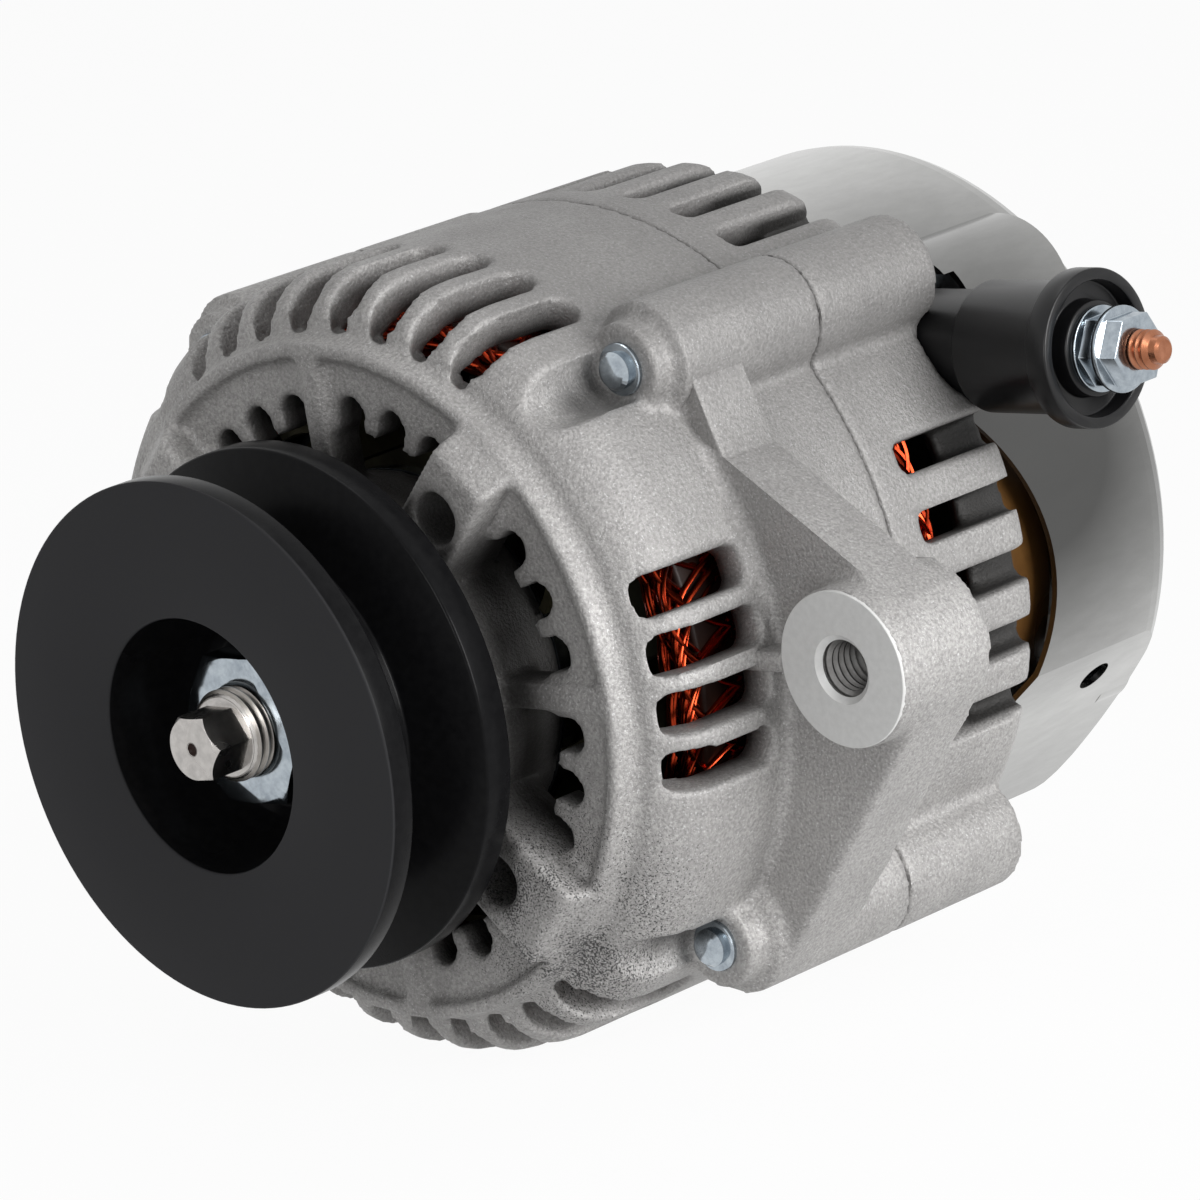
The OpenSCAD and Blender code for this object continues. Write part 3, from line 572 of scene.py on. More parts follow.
class Shelf:
    """The finishes of the alternator, one for each material slot."""

    FINISHES: dict[str, Finish] = {
        "cast_alloy": Finish(
            "sand_cast_alloy", (0.268, 0.261, 0.256), (0.47, 0.46, 0.45),
            0.3, 0.52, 0.06, Grain.CAST, 1900.0, 0.0002, 0.0, 0.4),
        "machined_alloy": Finish(
            "machined_alloy", (0.60, 0.60, 0.592), (0.66, 0.66, 0.652),
            0.3, 0.5, 0.05, Grain.PLAIN, 900.0, 0.000004),
        "black_paint": Finish(
            "black_enamel", (0.0045, 0.0045, 0.005), (0.007, 0.007, 0.0075),
            0.0, 0.3, 0.05, Grain.PAINT, 700.0, 0.000006, 0.0, 0.06),
        "bright_zinc": Finish(
            "bright_zinc", (0.44, 0.49, 0.53), (0.28, 0.32, 0.36),
            1.0, 0.15, 0.07, Grain.PLAIN, 500.0, 0.00001),
        "yellow_zinc": Finish(
            "yellow_zinc", (0.030, 0.027, 0.014), (0.055, 0.05, 0.028),
            0.6, 0.38, 0.08, Grain.PLAIN, 300.0, 0.00001),
        "bare_steel": Finish(
            "machined_steel", (0.25, 0.235, 0.215), (0.36, 0.34, 0.32),
            1.0, 0.3, 0.08, Grain.TURNED, 500.0, 0.00002),
        "tip_steel": Finish(
            "polished_tip", (0.52, 0.50, 0.48), (0.40, 0.385, 0.37),
            1.0, 0.24, 0.06, Grain.PLAIN, 600.0, 0.00001),
        "thread_steel": Finish(
            "tapped_thread", (0.17, 0.165, 0.16), (0.26, 0.255, 0.25),
            0.8, 0.36, 0.06, Grain.PLAIN, 700.0, 0.00001),
        "bearing_steel": Finish(
            "ground_steel", (0.50, 0.51, 0.53), (0.58, 0.59, 0.60),
            1.0, 0.16, 0.04, Grain.TURNED, 600.0, 0.0),
        "core_steel": Finish(
            "oiled_core", (0.012, 0.012, 0.013), (0.03, 0.03, 0.031),
            0.4, 0.5, 0.08, Grain.TURNED, 900.0, 0.00003, 0.0, 0.2),
        "spring_steel": Finish(
            "spring_wire", (0.33, 0.34, 0.35), (0.42, 0.43, 0.44),
            1.0, 0.3, 0.05, Grain.PLAIN, 500.0, 0.0),
        "satin_steel": Finish(
            "satin_sheet", (0.50, 0.50, 0.49), (0.56, 0.56, 0.55),
            1.0, 0.19, 0.04, Grain.SHEET, 420.0, 0.000004),
        "plain_aluminium": Finish(
            "rolled_aluminium", (0.52, 0.53, 0.54), (0.62, 0.62, 0.63),
            1.0, 0.38, 0.07, Grain.PLAIN, 500.0, 0.00001),
        "enamelled_copper": Finish(
            "enamelled_copper", (0.44, 0.050, 0.016), (0.20, 0.016, 0.006),
            1.0, 0.26, 0.06, Grain.WIRE, 260.0, 0.00001),
        # Near-black painted shade for the cores under the end turns and the shaft's centre hole.
        "painted_shade": Finish(
            "painted_shade", (0.010, 0.004, 0.003), (0.02, 0.008, 0.005),
            0.0, 0.4, 0.06, Grain.PLAIN, 260.0, 0.00002, 0.0, 0.15),
        "bare_copper": Finish(
            "bare_copper", (0.30, 0.115, 0.06), (0.44, 0.19, 0.11),
            1.0, 0.24, 0.08, Grain.PLAIN, 500.0, 0.00001),
        "pin_brass": Finish(
            "pin_brass", (0.50, 0.37, 0.14), (0.60, 0.47, 0.21),
            1.0, 0.25, 0.05, Grain.PLAIN, 500.0, 0.0),
        "brush_carbon": Finish(
            "pressed_carbon", (0.03, 0.028, 0.027), (0.06, 0.057, 0.055),
            0.1, 0.55, 0.08, Grain.MOULDED, 1200.0, 0.00003),
        "brown_resin": Finish(
            "brown_resin", (0.075, 0.034, 0.010), (0.105, 0.050, 0.014),
            0.0, 0.28, 0.06, Grain.MOULDED, 120.0, 0.00002, 0.3, 0.3),
        "black_plastic": Finish(
            "moulded_black", (0.006, 0.006, 0.0065), (0.011, 0.011, 0.012),
            0.0, 0.34, 0.06, Grain.MOULDED, 900.0, 0.00002, 0.0, 0.22),
        "glossy_black": Finish(
            "glossy_moulding", (0.0035, 0.0035, 0.004), (0.006, 0.006, 0.0065),
            0.0, 0.3, 0.06, Grain.MOULDED, 160.0, 0.000006, 0.0, 0.3),
        "pale_plastic": Finish(
            "pale_nylon", (0.62, 0.57, 0.46), (0.68, 0.63, 0.52),
            0.0, 0.45, 0.05, Grain.MOULDED, 500.0, 0.00001),
        "seal_rubber": Finish(
            "seal_rubber", (0.014, 0.013, 0.013), (0.022, 0.021, 0.021),
            0.0, 0.55, 0.06, Grain.MOULDED, 900.0, 0.00002),
    }

    @classmethod
    def material(cls, slot: str) -> bpy.types.Material:
        """Gives the material of a slot."""
        return cls.FINISHES[slot].build()


@dataclass
class Workshop:
    """Shared ways of making pieces.

    Attributes:
    """

    frame: dict

    def dress_nodes(self) -> None:
        """Gives every carried-over node the material of its slot."""
        for part in self.frame["record"]["subparts"]:
            node = self.frame["nodes"][part["node"]]
            node.data.materials.clear()
            node.data.materials.append(Shelf.material(part["material_slot"]))

    def press_springs(self) -> None:
        """Lets each brush spring shorten as its brush slides away from the slip ring."""
        for side in ("front", "rear"):
            node, joint = f"brush_spring_{side}", f"{side}_brush_slide"
            stroke = next(j["range_m"][1] for j in self.frame["joints"] if j["name"] == joint)
            low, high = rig.box(node)
            free = high.z - low.z
            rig.squash(self.frame["nodes"][node], joint, axis=(0.0, 0.0, 1.0),
                      anchor=(0.0, low.y, high.z), keep=(free - stroke) / free)

    def finish_piece(self, name: str, mesh: bmesh.types.BMesh, slot: str, body: str,
                     smooth: float = 35.0, finish: str = "") -> bpy.types.Object:
        """Turns a bmesh into a piece that rides on a body.

        Args:
            name: Name of the piece.
            mesh: The mesh; it is freed here.
            slot: Material slot of the record.
            body: Body that carries the piece.
            smooth: Angle in degrees up to which edges shade smooth.
            finish: Name of a finish other than the slot's own.

        Returns:
            The finished object.
        """
        data = bpy.data.meshes.new(name)
        mesh.to_mesh(data)
        mesh.free()
        piece = show(name, data)
        data.materials.append(Shelf.material(finish or slot))
        for face in data.polygons:
            face.use_smooth = True
        data.set_sharp_from_angle(angle=math.radians(smooth))
        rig.slot(piece, slot)
        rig.ride(piece, body)
        LOG.info("%s: %d faces on %s", name, len(data.polygons), body)
        return piece

    def lathe(self, profile: Profile, steps: int, bevel: float = 0.0) -> bmesh.types.BMesh:
        """Spins a closed profile round the shaft axis.

        Args:
            profile: Pairs of radius and station along the shaft, in millimetres.
            steps: Steps of the full turn.
            bevel: Width of the rounded corners in millimetres.

        Returns:
            The closed body of revolution.
        """
        mesh = bmesh.new()
        corners = [mesh.verts.new((r * MM, y * MM, 0.0)) for r, y in profile]
        pairs = list(zip(corners, corners[1:] + corners[:1]))
        if profile[0][0] == 0.0 and profile[-1][0] == 0.0:
            pairs.pop()
        edges = [mesh.edges.new(pair) for pair in pairs]
        if bevel > 0.0:
            bmesh.ops.bevel(mesh, geom=corners, offset=bevel * MM, offset_type="OFFSET",
                            affect="VERTICES", segments=3, profile=0.5, material=-1)
            edges = list(mesh.edges)
        bmesh.ops.spin(mesh, geom=list(mesh.verts) + edges, cent=(0, 0, 0), axis=(0, 1, 0),
                       angle=math.tau, steps=steps, use_merge=True, use_duplicate=False)
        bmesh.ops.remove_doubles(mesh, verts=list(mesh.verts), dist=MERGE)
        bmesh.ops.recalc_face_normals(mesh, faces=list(mesh.faces))
        return mesh

    def copy(self, node: str) -> bmesh.types.BMesh:
        """Copies a node's mesh and merges its doubled vertices.

        Args:
            node: Name of the node to copy.

        Returns:
            The merged copy.
        """
        mesh = bmesh.new()
        mesh.from_mesh(self.frame["nodes"][node].data)
        bmesh.ops.remove_doubles(mesh, verts=list(mesh.verts), dist=WELD)
        return mesh

    def soften(self, node: str, width: float, angle: float = 32.0) -> bmesh.types.BMesh:
        """Copies a node and rounds its sharp edges.

        Args:
            node: Name of the node to copy.
            width: Width of the rounding in millimetres.
            angle: Edges sharper than this, in degrees, are rounded.

        Returns:
            The copy with rounded edges.
        """
        mesh = self.copy(node)
        bmesh.ops.dissolve_limit(mesh, angle_limit=math.radians(1.0), verts=list(mesh.verts),
                                 edges=list(mesh.edges))
        limit = math.radians(angle)
        sharp = [e for e in mesh.edges if len(e.link_faces) == 2 and e.calc_face_angle() > limit]
        bmesh.ops.bevel(mesh, geom=sharp, offset=width * MM, offset_type="OFFSET", affect="EDGES",
                        segments=2, profile=0.5, clamp_overlap=True, material=-1)
        return mesh

    def remesh(self, node: str, voxel: float, rounds: int) -> bmesh.types.BMesh:
        """Copies a node, rebuilds its surface from voxels and softens its edges.

        Args:
            node: Name of the node to copy.
            voxel: Voxel size in millimetres.
            rounds: Smoothing rounds.

        Returns:
            The softened copy.
        """
        mesh = self.copy(node)
        data = bpy.data.meshes.new(node + "_rough")
        mesh.to_mesh(data)
        mesh.free()
        rough = show(node + "_rough", data)
        cutter = rough.modifiers.new("voxels", "REMESH")
        cutter.mode = "VOXEL"
        cutter.voxel_size = voxel * MM
        soft = rough.modifiers.new("soft", "SMOOTH")
        soft.factor = 0.5
        soft.iterations = rounds
        graph = bpy.context.evaluated_depsgraph_get()
        made = bmesh.new()
        made.from_mesh(rough.evaluated_get(graph).data)
        bpy.data.objects.remove(rough)
        bmesh.ops.remove_doubles(made, verts=list(made.verts), dist=MERGE)
        return made


@dataclass
class Castings:
    """The two cast brackets, with softened edges and the ear's thread.

    Attributes:
        shop: Shared ways of making pieces.
        ear: Centre of the threaded ear, X and Z, in millimetres.
        thread: Crest radius, root radius and pitch of the ear's thread.
        thread_span: First and last station of the thread.
        body_r: Outer radius of the casting.
        boss: X, Z and radius of the bolt boss over the ear.
        ear_r: Radius of the ear.
        web_line: X and Z of the two ends of the upper web's edge.
        web_span: Front end, new back and old back of the upper web.
        web_corner: Least X and Z of the vertices that belong to the upper web.
        web_skin: Distance from the round forms that the web's thinning leaves alone.
        web_squeeze: Share of the depth behind the new back that is kept.
        hole_play: How far the ear's hole is opened past the thread's root.
        hole_margin: How far the opening reaches past the thread at each end.
        voxels: Voxel size for the front and for the rear casting.
        rounds: Smoothing rounds of both castings.
        ear_profile: The machined face with its countersink, radius and station.
        fin_centre: Centre of the fin beside the ear.
        fin_size: Size of the fin beside the ear.
    """

    shop: Workshop
    ear: tuple[float, float] = (77.8, 0.0)
    thread: Triple = (3.75, 4.35, 1.25)
    thread_span: tuple[float, float] = (44.8, 62.2)
    body_r: float = 61.0
    boss: Triple = (43.84, 43.84, 9.0)
    ear_r: float = 12.0
    web_line: tuple[float, float, float, float] = (51.7, 32.4, 84.3, 10.1)
    web_span: Triple = (47.0, 58.5, 64.0)
    web_corner: tuple[float, float] = (45.0, 4.0)
    web_skin: float = 0.15
    web_squeeze: float = 0.12
    hole_play: float = 0.3
    hole_margin: tuple[float, float] = (2.5, 1.2)
    voxels: tuple[float, float] = (0.8, 0.85)
    rounds: int = 2
    ear_profile: Profile = ((5.2, 43.34), (11.6, 43.34), (11.7, 43.44), (11.7, 44.1), (4.3, 44.1))
    fin_centre: Triple = (62.6, 47.2, 0.3)
    fin_size: Triple = (10.6, 7.4, 3.1)

    def build(self) -> None:
        """Builds both castings with the ear's thread, its machined face and its fin."""
        front = self.shop.remesh("drive_end_bracket", self.voxels[0], self.rounds)
        self.open_ear(front)
        self.slim_web(front)
        piece = self.shop.finish_piece("front_casting", front, "cast_alloy", "housing", 60.0)
        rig.replaces(piece, "drive_end_bracket")
        rear = self.shop.remesh("rear_bracket", self.voxels[1], self.rounds)
        piece = self.shop.finish_piece("rear_casting", rear, "cast_alloy", "housing", 60.0)
        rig.replaces(piece, "rear_bracket")
        self.cut_thread()
        self.face_ear()
        self.add_fin()

    def open_ear(self, mesh: bmesh.types.BMesh) -> None:
        """Widens the ear's hole to the thread's root, so that the thread can sit in it.

        Args:
            mesh: The front casting.
        """
        x0, z0 = self.ear
        root = (self.thread[1] + self.hole_play) * MM
        start = self.thread_span[0] - self.hole_margin[0]
        end = self.thread_span[1] + self.hole_margin[1]
        for vert in mesh.verts:
            off = Vector((vert.co.x - x0 * MM, vert.co.z - z0 * MM))
            inside = start < vert.co.y / MM < end
            if inside and 0.0 < off.length < root:
                grown = off.normalized() * root
                vert.co.x = x0 * MM + grown.x
                vert.co.z = z0 * MM + grown.y

    def slim_web(self, mesh: bmesh.types.BMesh) -> None:
        """Draws the upper web in to the edge between the body and the ear, and thins it.

        Args:
            mesh: The front casting.
        """
        x0, z0, x1, z1 = self.web_line
        along = Vector((x1 - x0, z1 - z0)).normalized()
        out = Vector((-along.y, along.x))
        if out.y < 0.0:
            out = -out
        front, back, end = self.web_span
        circles = (
            (Vector((0.0, 0.0)), self.body_r),
            (Vector(self.boss[:2]), self.boss[2]),
            (Vector(self.ear), self.ear_r),
        )
        for vert in mesh.verts:
            spot = Vector((vert.co.x, vert.co.z)) / MM
            station = vert.co.y / MM
            if not front < station < end or spot.x < self.web_corner[0] or spot.y < self.web_corner[1]:
                continue
            gaps = [(spot - centre).length - radius for centre, radius in circles]
            if min(gaps) <= self.web_skin:
                continue
            line = (spot - Vector((x0, z0))).dot(out)
            if station > back:
                vert.co.y = (back + self.web_squeeze * (station - back)) * MM
            if line > 0.0:
                near = min(range(3), key=lambda k: gaps[k])
                if line <= gaps[near]:
                    spot = spot - out * line
                else:
                    centre, radius = circles[near]
                    spot = centre + (spot - centre).normalized() * radius
                vert.co.x, vert.co.z = spot.x * MM, spot.y * MM

    def add_fin(self) -> None:
        """Adds the fin that carries the middle rib on to the ear."""
        mesh = bmesh.new()
        size = Matrix.Diagonal((*(side * MM for side in self.fin_size), 1.0))
        place = Matrix.Translation([value * MM for value in self.fin_centre]) @ size
        bmesh.ops.create_cube(mesh, size=1.0, matrix=place)
        bmesh.ops.bevel(mesh, geom=list(mesh.edges), offset=0.7 * MM, offset_type="OFFSET", affect="EDGES",
                        segments=3, profile=0.5, material=-1)
        self.shop.finish_piece("ear_fin", mesh, "cast_alloy", "housing", 40.0)

    def cut_thread(self) -> None:
        """Builds the ear's thread as rings with the thread's profile."""
        crest, root, pitch = self.thread
        start, end = self.thread_span
        count = int((end - start) / pitch)
        seat = root + self.hole_play
        points: list[tuple[float, float]] = [(seat, start)]
        for k in range(count):
            points += thread_turn(root - 0.08, crest, start + k * pitch, (0.05, 0.62, 0.88, 1.45))
        points.append((seat, start + count * pitch))
        mesh = self.shop.lathe(points, 48)
        shift(mesh, *self.ear)
        self.shop.finish_piece("ear_thread", mesh, "cast_alloy", "housing", 30.0, "thread_steel")

    def face_ear(self) -> None:
        """Builds the ear's machined face with the countersink of its hole."""
        mesh = self.shop.lathe(self.ear_profile, 96)
        shift(mesh, *self.ear)
        self.shop.finish_piece("ear_face", mesh, "cast_alloy", "housing", 25.0, "machined_alloy")


@dataclass
class DriveLine:
    """The pulley and the visible shaft end.

    Attributes:
        shop: Shared ways of making pieces.
        pulley: The pulley's profile, radius and station in millimetres.
        thread: Crest radius, root radius and pitch of the shaft's thread.
        thread_start: Station of the thread's front end.
        thread_turns: Turns of the shaft's thread.
        body: The shaft behind its thread, radius and station.
        tip_cut: Station where the hexagon end piece stops.
        tip_front: Front end of the shaft.
    """

    shop: Workshop
    pulley: Profile = (
        (8.5, 4.9), (14.0, 4.9), (15.6, 3.7), (17.0, 0.7), (18.1, -3.6), (18.9, -7.6), (19.4, -11.6),
        (40.0, -11.6), (40.0, -7.6), (28.0, -3.7), (28.0, 3.7), (40.0, 7.6), (40.0, 12.4),
        (24.0, 12.4), (23.0, 9.4), (15.0, 9.4), (14.0, 12.4), (8.5, 12.4),
    )
    thread: Triple = (7.0, 6.15, 1.5)
    thread_start: float = -6.45
    thread_turns: int = 7
    body: Profile = (
        (6.15, 4.9), (8.5, 4.9), (8.5, 34.0), (11.5, 34.0), (11.5, 45.4), (9.5, 45.4), (9.5, 86.4),
        (7.5, 92.4), (7.5, 103.4), (6.0, 103.4), (6.0, 131.5), (0.0, 131.5),
    )
    tip_cut: float = -5.9
    tip_front: float = -13.05

    def build(self) -> None:
        """Builds the pulley and the shaft."""
        mesh = self.shop.lathe(self.pulley, 128, 0.35)
        piece = self.shop.finish_piece("turned_pulley", mesh, "black_paint", "rotor", 30.0)
        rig.replaces(piece, "pulley")
        mesh = self.shop.lathe(self.shaft_profile(), 64)
        piece = self.shop.finish_piece("turned_shaft", mesh, "bare_steel", "rotor", 30.0)
        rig.replaces(piece, "rotor_shaft")
        mesh = self.centre_hole()
        # The centre hole is near-black painted shade.
        self.shop.finish_piece("tip_centre", mesh, "bare_steel", "rotor", 30.0, "painted_shade")
        mesh = self.hexagon_tip()
        piece = self.shop.finish_piece("hexagon_tip", mesh, "bare_steel", "rotor", 30.0, "tip_steel")
        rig.replaces(piece, "rotor_shaft")

    def shaft_profile(self) -> list[tuple[float, float]]:
        """Gives the shaft's outline with its thread.

        Returns:
            Pairs of radius and station.
        """
        crest, root, pitch = self.thread
        start = self.thread_start
        points: list[tuple[float, float]] = [(0.0, start), (root, start)]
        for k in range(self.thread_turns):
            points += thread_turn(root, crest, start + 0.15 + k * pitch, (0.0, 0.62, 0.86, pitch - 0.05))
        return points + list(self.body)

    def centre_hole(self) -> bmesh.types.BMesh:
        """Builds the cup, near-black with painted shade, that shows as the centre hole in the shaft's end.

        Returns:
            The closed cup, with its hollow to the front.
        """
        front = self.tip_front
        return self.shop.lathe((
            (0.0, front + 0.5), (0.6, front + 0.4), (1.05, front - 0.01),
            (1.2, front + 0.02), (1.2, front + 0.9), (0.0, front + 0.9),
        ), 32)

    def hexagon_tip(self) -> bmesh.types.BMesh:
        """Cuts the shaft's hexagon end off a copy of the node and softens its edges.

        Returns:
            The closed end piece.
        """
        mesh = self.shop.soften("rotor_shaft", 0.12, 18.0)
        everything = list(mesh.verts) + list(mesh.edges) + list(mesh.faces)
        cut = bmesh.ops.bisect_plane(
            mesh, geom=everything, dist=MERGE, plane_co=(0.0, self.tip_cut * MM, 0.0),
            plane_no=(0.0, 1.0, 0.0), clear_outer=True)
        rim = [part for part in cut["geom_cut"] if isinstance(part, bmesh.types.BMEdge)]
        bmesh.ops.edgenet_fill(mesh, edges=rim)
        bmesh.ops.recalc_face_normals(mesh, faces=list(mesh.faces))
        return mesh


@dataclass
class Hardware:
    """Nuts, bolts, the output terminal and the moulded pieces with softened edges.

    Attributes:
        shop: Shared ways of making pieces.
        stud: Radius, root radius and pitch of the output stud's thread.
        stud_spot: Station along the shaft and height of the stud's axis.
        stud_span: Where the stud's thread starts and ends along X.
        stud_tip: End of the stud along X.
        stud_point: The stud's dog point, radius and distance from the tip.
        bolt_span: Seat of the bolts' heads and the bolts' far end.
        bolt_circle: Radius of the bolts' circle.
        nut_seat: Where the terminal nuts sit along X.
        nut_share: Share of their height that the terminal nuts keep.
        stud_seat: Inner end of the stud along X.
        head_spot: Middle of the stud's head along X.
        head_size: Radius and height of the stud's head.
        bolt_turns: Angles of the through bolts.
        softened: Nodes whose edges are rounded, and the width of the rounding.
    """

    shop: Workshop
    stud: Triple = (3.0, 2.4, 1.2)
    stud_spot: tuple[float, float] = (107.4, 31.3)
    stud_span: tuple[float, float] = (77.4, 89.4)
    stud_tip: float = 91.0
    stud_point: Profile = ((2.2, -1.5), (2.05, -0.4), (1.55, 0.0), (0.0, 0.0))
    bolt_span: tuple[float, float] = (42.9, 100.4)
    bolt_circle: float = 62.0
    nut_seat: float = 78.0
    nut_share: float = 0.72
    stud_seat: float = 33.2
    head_spot: float = 31.9
    head_size: tuple[float, float] = (5.0, 3.0)
    bolt_turns: tuple[float, ...] = (45.0, 135.0, -45.0, -135.0)
    softened: tuple[tuple[str, float], ...] = (
        ("pulley_nut", 0.5), ("terminal_nuts", 0.2), ("terminal_insulator", 0.3),
        ("rectifier_insulator", 0.25), ("plug_socket", 0.4), ("voltage_regulator", 0.4),
        ("cover_nuts", 0.3), ("brush_holder", 0.3),
    )

    def build(self) -> None:
        """Builds the pieces."""
        self.cut_stud()
        self.head_bolts()
        record = self.shop.frame["record"]
        bodies = {node: body for body, nodes in record["behaviour"]["bodies"].items() for node in nodes}
        slots = {part["node"]: part["material_slot"] for part in record["subparts"]}
        for node, width in self.softened:
            mesh = self.shop.soften(node, width)
            if node == "terminal_nuts":
                self.lower_nuts(mesh)
            piece = self.shop.finish_piece(node + "_soft", mesh, slots[node], bodies[node], 40.0)
            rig.replaces(piece, node)

    def lower_nuts(self, mesh: bmesh.types.BMesh) -> None:
        """Shortens the terminal nuts towards their seat."""
        for vert in mesh.verts:
            vert.co.x = (self.nut_seat + (vert.co.x / MM - self.nut_seat) * self.nut_share) * MM

    def head_bolts(self) -> None:
        """Builds the four through bolts with their domed heads and washers."""
        seat, tail = self.bolt_span
        points: Profile = (
            (0.0, seat - 2.9), (1.5, seat - 2.8), (2.4, seat - 2.4), (2.9, seat - 1.7), (2.9, seat - 0.8),
            (3.9, seat - 0.7), (4.0, seat - 0.5), (4.0, seat), (2.5, seat), (2.5, tail), (0.0, tail),
        )
        whole = bmesh.new()
        for turn in self.bolt_turns:
            mesh = self.shop.lathe(points, 32)
            angle = math.radians(turn)
            shift(mesh, self.bolt_circle * math.cos(angle), self.bolt_circle * math.sin(angle))
            data = bpy.data.meshes.new("bolt")
            mesh.to_mesh(data)
            mesh.free()
            whole.from_mesh(data)
            bpy.data.meshes.remove(data)
        piece = self.shop.finish_piece("domed_bolts", whole, "bright_zinc", "housing", 25.0)
        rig.replaces(piece, "through_bolts")

    def cut_stud(self) -> None:
        """Builds the output stud with its thread, its dog point and its head."""
        crest, root, pitch = self.stud
        start, end = self.stud_span
        points: list[tuple[float, float]] = [(0.0, self.stud_seat), (crest, self.stud_seat), (crest, start)]
        steps = [share * pitch for share in (0.04, 0.42, 0.58, 0.96)]
        for k in range(int((end - start) / pitch)):
            points += thread_turn(root, crest, start + k * pitch, steps)
        points += [(radius, self.stud_tip + step) for radius, step in self.stud_point]
        y, z = self.stud_spot
        turn = Matrix.Translation((0.0, y * MM, z * MM)) @ Matrix.Rotation(math.radians(-90.0), 4, "Z")
        mesh = self.shop.lathe(points, 40)
        bmesh.ops.transform(mesh, matrix=turn, verts=list(mesh.verts))
        piece = self.shop.finish_piece("stud_thread", mesh, "bare_copper", "housing", 30.0)
        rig.replaces(piece, "terminal_stud")
        head = bmesh.new()
        radius, depth = self.head_size
        upright = Matrix.Rotation(math.radians(90.0), 4, "Y")
        place = Matrix.Translation((self.head_spot * MM, y * MM, z * MM)) @ upright
        bmesh.ops.create_cone(head, cap_ends=True, segments=6, radius1=radius * MM, radius2=radius * MM,
                              depth=depth * MM, matrix=place)
        bmesh.ops.bevel(head, geom=list(head.edges), offset=0.3 * MM, offset_type="OFFSET", affect="EDGES",
                        segments=2, profile=0.5, material=-1)
        piece = self.shop.finish_piece("stud_head", head, "bare_copper", "housing", 30.0)
        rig.replaces(piece, "terminal_stud")


@dataclass
class Winding:
    """The stator's end turns, made of separate enamelled wires.

    Attributes:
        shop: Shared ways of making pieces.
        bundles: Bundles round the stator.
        wires: Wires in one bundle.
        wire: Wire radius in millimetres.
        layers: Radius of the inner and of the outer layer.
        reach: Degrees that a strand spans round the shaft.
        sway: Degrees that a strand strays along the way.
        swell: Millimetres that a strand strays from its layer.
        ends: Name of each end turn, station of the stack's face and of its far end.
        cores: Name and end stations of the core under each end turn, near-black with painted shade.
        core_radii: Inner and outer radius of both cores.
    """

    shop: Workshop
    bundles: int = 36
    wires: int = 7
    wire: float = 0.46
    layers: tuple[float, float] = (48.6, 51.6)
    reach: float = 33.0
    sway: float = 2.2
    swell: float = 1.15
    ends: tuple[tuple[str, float, float], ...] = (
        ("front_turns", 50.4, 35.2), ("rear_turns", 81.4, 94.2),
    )
    cores: tuple[tuple[str, float, float], ...] = (
        ("front_turn_core", 40.5, 50.4), ("rear_turn_core", 81.4, 89.0),
    )
    core_radii: tuple[float, float] = (47.6, 52.0)

    def build(self) -> None:
        """Builds both end turns and the cores under them, near-black with painted shade."""
        for name, face, crown in self.ends:
            piece = self.turns(name, face, crown)
            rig.replaces(piece, "stator_winding")
        inner, outer = self.core_radii
        for name, low, high in self.cores:
            mesh = self.shop.lathe(((inner, low), (outer, low), (outer, high), (inner, high)), 96, 0.9)
            # The cores are near-black painted shade.
            piece = self.shop.finish_piece(name, mesh, "enamelled_copper", "housing", 35.0, "painted_shade")
            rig.replaces(piece, "stator_winding")

    def turns(self, name: str, face: float, crown: float) -> bpy.types.Object:
        """Builds one end turn.

        Args:
            name: Name of the piece.
            face: Station of the stack's face in millimetres.
            crown: Station of the turns' far end.

        Returns:
            The piece.
        """
        curve = bpy.data.curves.new(name, "CURVE")
        curve.dimensions = "3D"
        curve.bevel_depth = self.wire * MM
        curve.bevel_resolution = 1
        curve.resolution_u = 3
        curve.use_fill_caps = True
        rise = crown - face
        for k in range(self.bundles):
            for layer in (0, 1):
                for w in range(self.wires):
                    self.strand(curve, k, layer, w, face, rise)
        holder = show(name + "_curve", curve)
        graph = bpy.context.evaluated_depsgraph_get()
        mesh = bmesh.new()
        data = holder.evaluated_get(graph).to_mesh()
        mesh.from_mesh(data)
        bpy.data.objects.remove(holder)
        bmesh.ops.remove_doubles(mesh, verts=list(mesh.verts), dist=MERGE)
        return self.shop.finish_piece(name, mesh, "enamelled_copper", "housing", 60.0)

    def strand(self, curve: bpy.types.Curve, k: int, layer: int, w: int,
               face: float, rise: float) -> None:
        """Adds one wire of a bundle.

        Args:
            curve: Curve that takes the wire.
            k: Number of the bundle.
            layer: 0 for the inner layer, 1 for the outer one.
            w: Number of the wire in its bundle.
            face: Station of the stack's face.
            rise: Signed height of the turns over the face.
        """
        seed = math.sin(12.9898 * (k * 31 + layer * 17 + w * 7)) * 43758.5453
        jitter = seed - math.floor(seed)
        lean = 1 if layer else -1
        points = 7
        spline = curve.splines.new("NURBS")
        spline.points.add(points - 1)
        twist = math.tau * (w / self.wires)
        for i in range(points):
            t = i / (points - 1)
            turn = 360.0 / self.bundles * k + lean * self.reach * (t - 0.5)
            turn += self.sway * math.cos(twist + 4.0 * t)
            angle = math.radians(turn + (jitter - 0.5) * 1.6)
            lift = math.sin(math.pi * t) ** 0.55 if 0.0 < t < 1.0 else 0.0
            station = face + rise * (0.90 * lift + 0.07 * math.sin(twist + 5.0 * t) * lift)
            radius = self.layers[layer] + self.swell * math.sin(twist + 4.0 * t) + (jitter - 0.5) * 0.5
            x, z = radius * MM * math.cos(angle), radius * MM * math.sin(angle)
            spline.points[i].co = (x, station * MM, z, 1.0)
        spline.use_endpoint_u = True
        spline.order_u = 4


